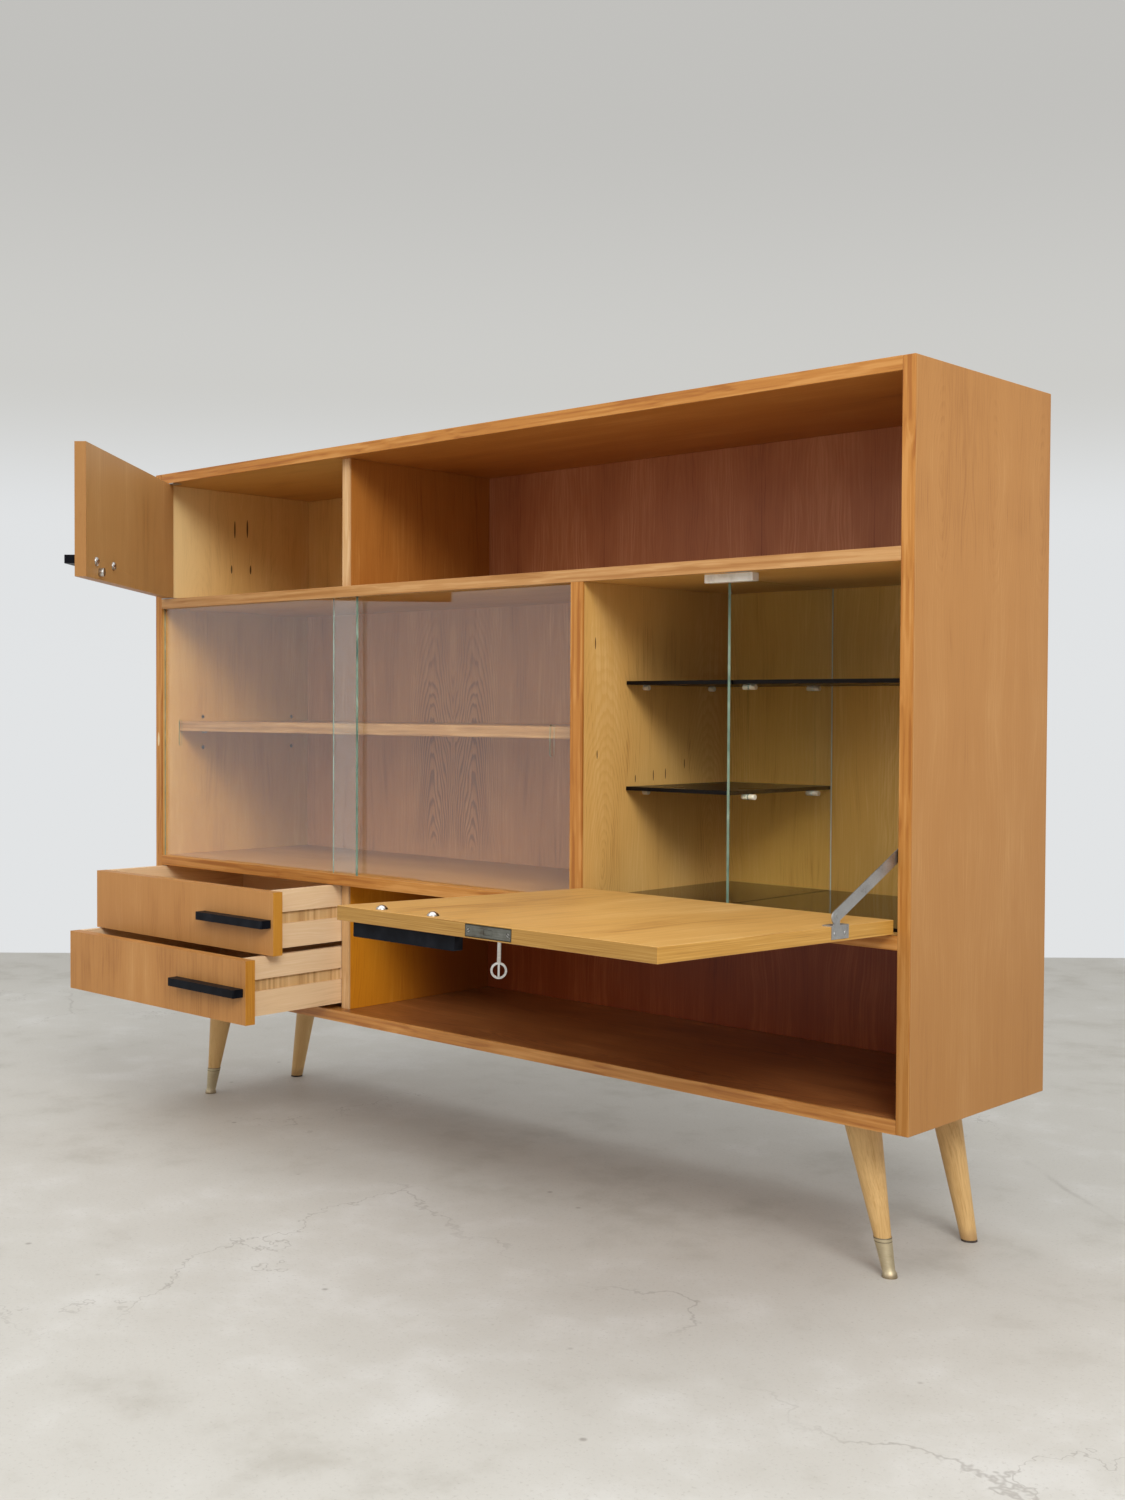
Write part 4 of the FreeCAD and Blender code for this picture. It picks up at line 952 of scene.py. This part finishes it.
# Screws of the stay's bracket in the flap's right end: share of its length and turn of the slot for each, depth
# below the flap's inner face, and radius
BRACKET_SCREWS = (0.2, 0.5), (0.8, 1.4)
BRACKET_SCREW_DEPTH, BRACKET_SCREW_RADIUS = 9 * MM, 3.2 * MM
along_low, along_high = reach("stay_bracket", FLAP_UP)
screw_height = reach("flap", FLAP_IN)[1] - BRACKET_SCREW_DEPTH
bracket_face = Vector((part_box("stay_bracket")[1].x, 0, 0))
for number, (share, turn) in enumerate(BRACKET_SCREWS, 1):
    distance = along_low + (along_high - along_low) * share
    centre = bracket_face + FLAP_UP * distance + FLAP_IN * screw_height
    slotted_screw(f"bracket_screw_{number}", centre, X, turn, BRACKET_SCREW_RADIUS, "flap")

# The floor's tones from dark to light, and its marks
CONCRETE = ((0.46, 0.445, 0.405), (0.55, 0.54, 0.505), (0.615, 0.61, 0.585))
FLOOR_STAIN = (0.30, 0.28, 0.25)
FLOOR_SPECK = (0.36, 0.34, 0.31)
FLOOR_CRACK = (0.24, 0.22, 0.20)
FLOOR_PIT = (0.22, 0.20, 0.18)


def concrete():
    """Pale power-floated concrete, mottled and worn, with cracks and pits."""
    material, g = new_graph("floor_concrete")
    cloud = g.floor_mottle(1.1, 5.0, 0.6)
    patch = g.floor_mottle(6.0, 6.0, 0.65)
    speck = g.floor_mottle(190.0, 5.0, 0.7)
    colour = g.ramp(g.blend_of(cloud, 0.5, patch, 0.5), CONCRETE, spread(0.14))
    stain = g.step(g.floor_mottle(17.0, 5.0, 0.7), 0.66, 0.78)
    colour = g.cover(colour, stain, 0.35, FLOOR_STAIN)
    colour = g.cover(colour, g.step(speck, 0.54, 0.70), 0.45, FLOOR_SPECK)
    bend = g.floor_mottle(2.2, 6.0, 0.65)
    warped = g.vector("ADD", g.scaled(g.position(), (0.8, 0.8, 1.0)), g.combine(bend, g.times(bend, -0.7), 0.0))
    ridge = g.cells(warped, feature="DISTANCE_TO_EDGE")[0]
    crack = g.times(g.fall(ridge, 0.0, 0.004), g.step(cloud, 0.50, 0.60))
    colour = g.cover(colour, crack, 0.45, FLOOR_CRACK)
    cell = g.cells(g.scaled(g.position(), (11.0, 11.0, 1.0)))
    sparse = g.above(g.vector("DOT_PRODUCT", cell["Color"], (1.0, 0.0, 0.0)), 0.86)
    pit = g.times(g.fall(cell["Distance"], 0.02, 0.07), sparse)
    colour = g.cover(colour, pit, 0.6, FLOOR_PIT)
    g.surface(g.principled({
        "Base Color": colour, "Roughness": g.range(patch, 0.45, 0.75), "Specular IOR Level": 0.3,
        "Normal": g.bump(speck, 0.2 * MM, 0.2)}))
    return material


# Camera at the photograph's place: yaw to the left, slight downward pitch and roll
CAMERA_PLACE = Vector((1.97135, FRONT - 1.86307, 0.76369))
YAW, PITCH, ROLL = math.radians(42.8746), math.radians(-1.39697), math.radians(0.27665)
FOCAL_PX, IMAGE_HEIGHT, SENSOR_HEIGHT = 1668.75, 1500.0, 36.0
level = Vector((-math.sin(YAW), math.cos(YAW), 0))
right = Vector((math.cos(YAW), math.sin(YAW), 0))
ahead = level * math.cos(PITCH) + Z * math.sin(PITCH)
above = -level * math.sin(PITCH) + Z * math.cos(PITCH)
view_x = right * math.cos(ROLL) + above * math.sin(ROLL)
view_y = -right * math.sin(ROLL) + above * math.cos(ROLL)
camera = bpy.data.objects.new("camera", bpy.data.cameras.new("camera"))
scene.collection.objects.link(camera)
camera.matrix_world = Matrix.Translation(CAMERA_PLACE) @ Matrix((view_x, view_y, -ahead)).transposed().to_4x4()
camera.data.sensor_fit = "VERTICAL"
camera.data.sensor_height = SENSOR_HEIGHT
camera.data.lens = SENSOR_HEIGHT * FOCAL_PX / IMAGE_HEIGHT
camera.data.clip_start = 0.05
scene.camera = camera

# Square of floor whose far edge lies square to the camera
HALF_FLOOR = 2.5
floor_mesh = bpy.data.meshes.new("floor")
corners = [level * a + right * b for a, b in ((-1, -1), (-1, 1), (1, 1), (1, -1))]
floor_mesh.from_pydata([corner * HALF_FLOOR for corner in corners], [], [(0, 1, 2, 3)])
floor_mesh.materials.append(concrete())
floor = bpy.data.objects.new("floor", floor_mesh)
scene.collection.objects.link(floor)


def area_light(name, place, aim, size, power, colour):
    lamp = bpy.data.lights.new(name, "AREA")
    lamp.shape = "RECTANGLE"
    lamp.size, lamp.size_y = size
    lamp.energy = power
    lamp.color = colour
    obj = bpy.data.objects.new(name, lamp)
    scene.collection.objects.link(obj)
    obj.location = place
    obj.rotation_euler = (Vector(aim) - Vector(place)).to_track_quat("-Z", "Y").to_euler()


WARM, NEUTRAL = (1.0, 0.98, 0.95), (1.0, 0.99, 0.97)
area_light("front_soft", (-0.6, -3.8, 3.0), (0.0, 0.2, 0.6), size=(4.5, 2.2), power=40.0, colour=WARM)
area_light("right_soft", (4.2, -2.5, 3.5), (0.2, 0.2, 1.2), size=(2.6, 1.7), power=180.0, colour=NEUTRAL)
area_light("ceiling", (0.2, -0.6, 3.6), (0.2, -0.5, 0.0), size=(5.0, 4.0), power=55.0, colour=NEUTRAL)

# The room's wall and ceiling by height of view, the paler room behind the camera, and the light for the rest
ROOM_SHADES = ((0.76, 0.775, 0.785), (0.75, 0.765, 0.775), (0.61, 0.607, 0.585), (0.535, 0.53, 0.51))
ROOM_HEIGHTS = 0.0, 0.10, 0.19, 0.34
ROOM_BEHIND = (0.96, 0.965, 0.965)
SOFT_LIGHT = 0.60


def pale_world():
    """Pale room seen directly, in reflections and through glass, and a plain soft light for the rest."""
    world = bpy.data.worlds.new("room")
    world.use_nodes = True
    g = Graph(world.node_tree)
    towards = g.add("ShaderNodeSeparateXYZ", {0: g.add("ShaderNodeTexCoord").outputs["Generated"]}).outputs
    wall = g.ramp(towards[2], ROOM_SHADES, ROOM_HEIGHTS)
    behind = g.step(g.times(towards[1], -1.0), 0.1, 0.5)
    seen = g.add("ShaderNodeBackground", {"Color": g.mix(behind, wall, ROOM_BEHIND), "Strength": 1.0})
    light = g.add("ShaderNodeBackground", {"Color": (*NEUTRAL, 1.0), "Strength": SOFT_LIGHT})
    path = g.add("ShaderNodeLightPath").outputs
    shown = g.either(path["Is Camera Ray"], g.either(path["Is Glossy Ray"], path["Is Transmission Ray"]))
    both = g.add("ShaderNodeMixShader", {0: shown, 1: light.outputs[0], 2: seen.outputs[0]})
    g.surface(both, "ShaderNodeOutputWorld")
    scene.world = world


pale_world()
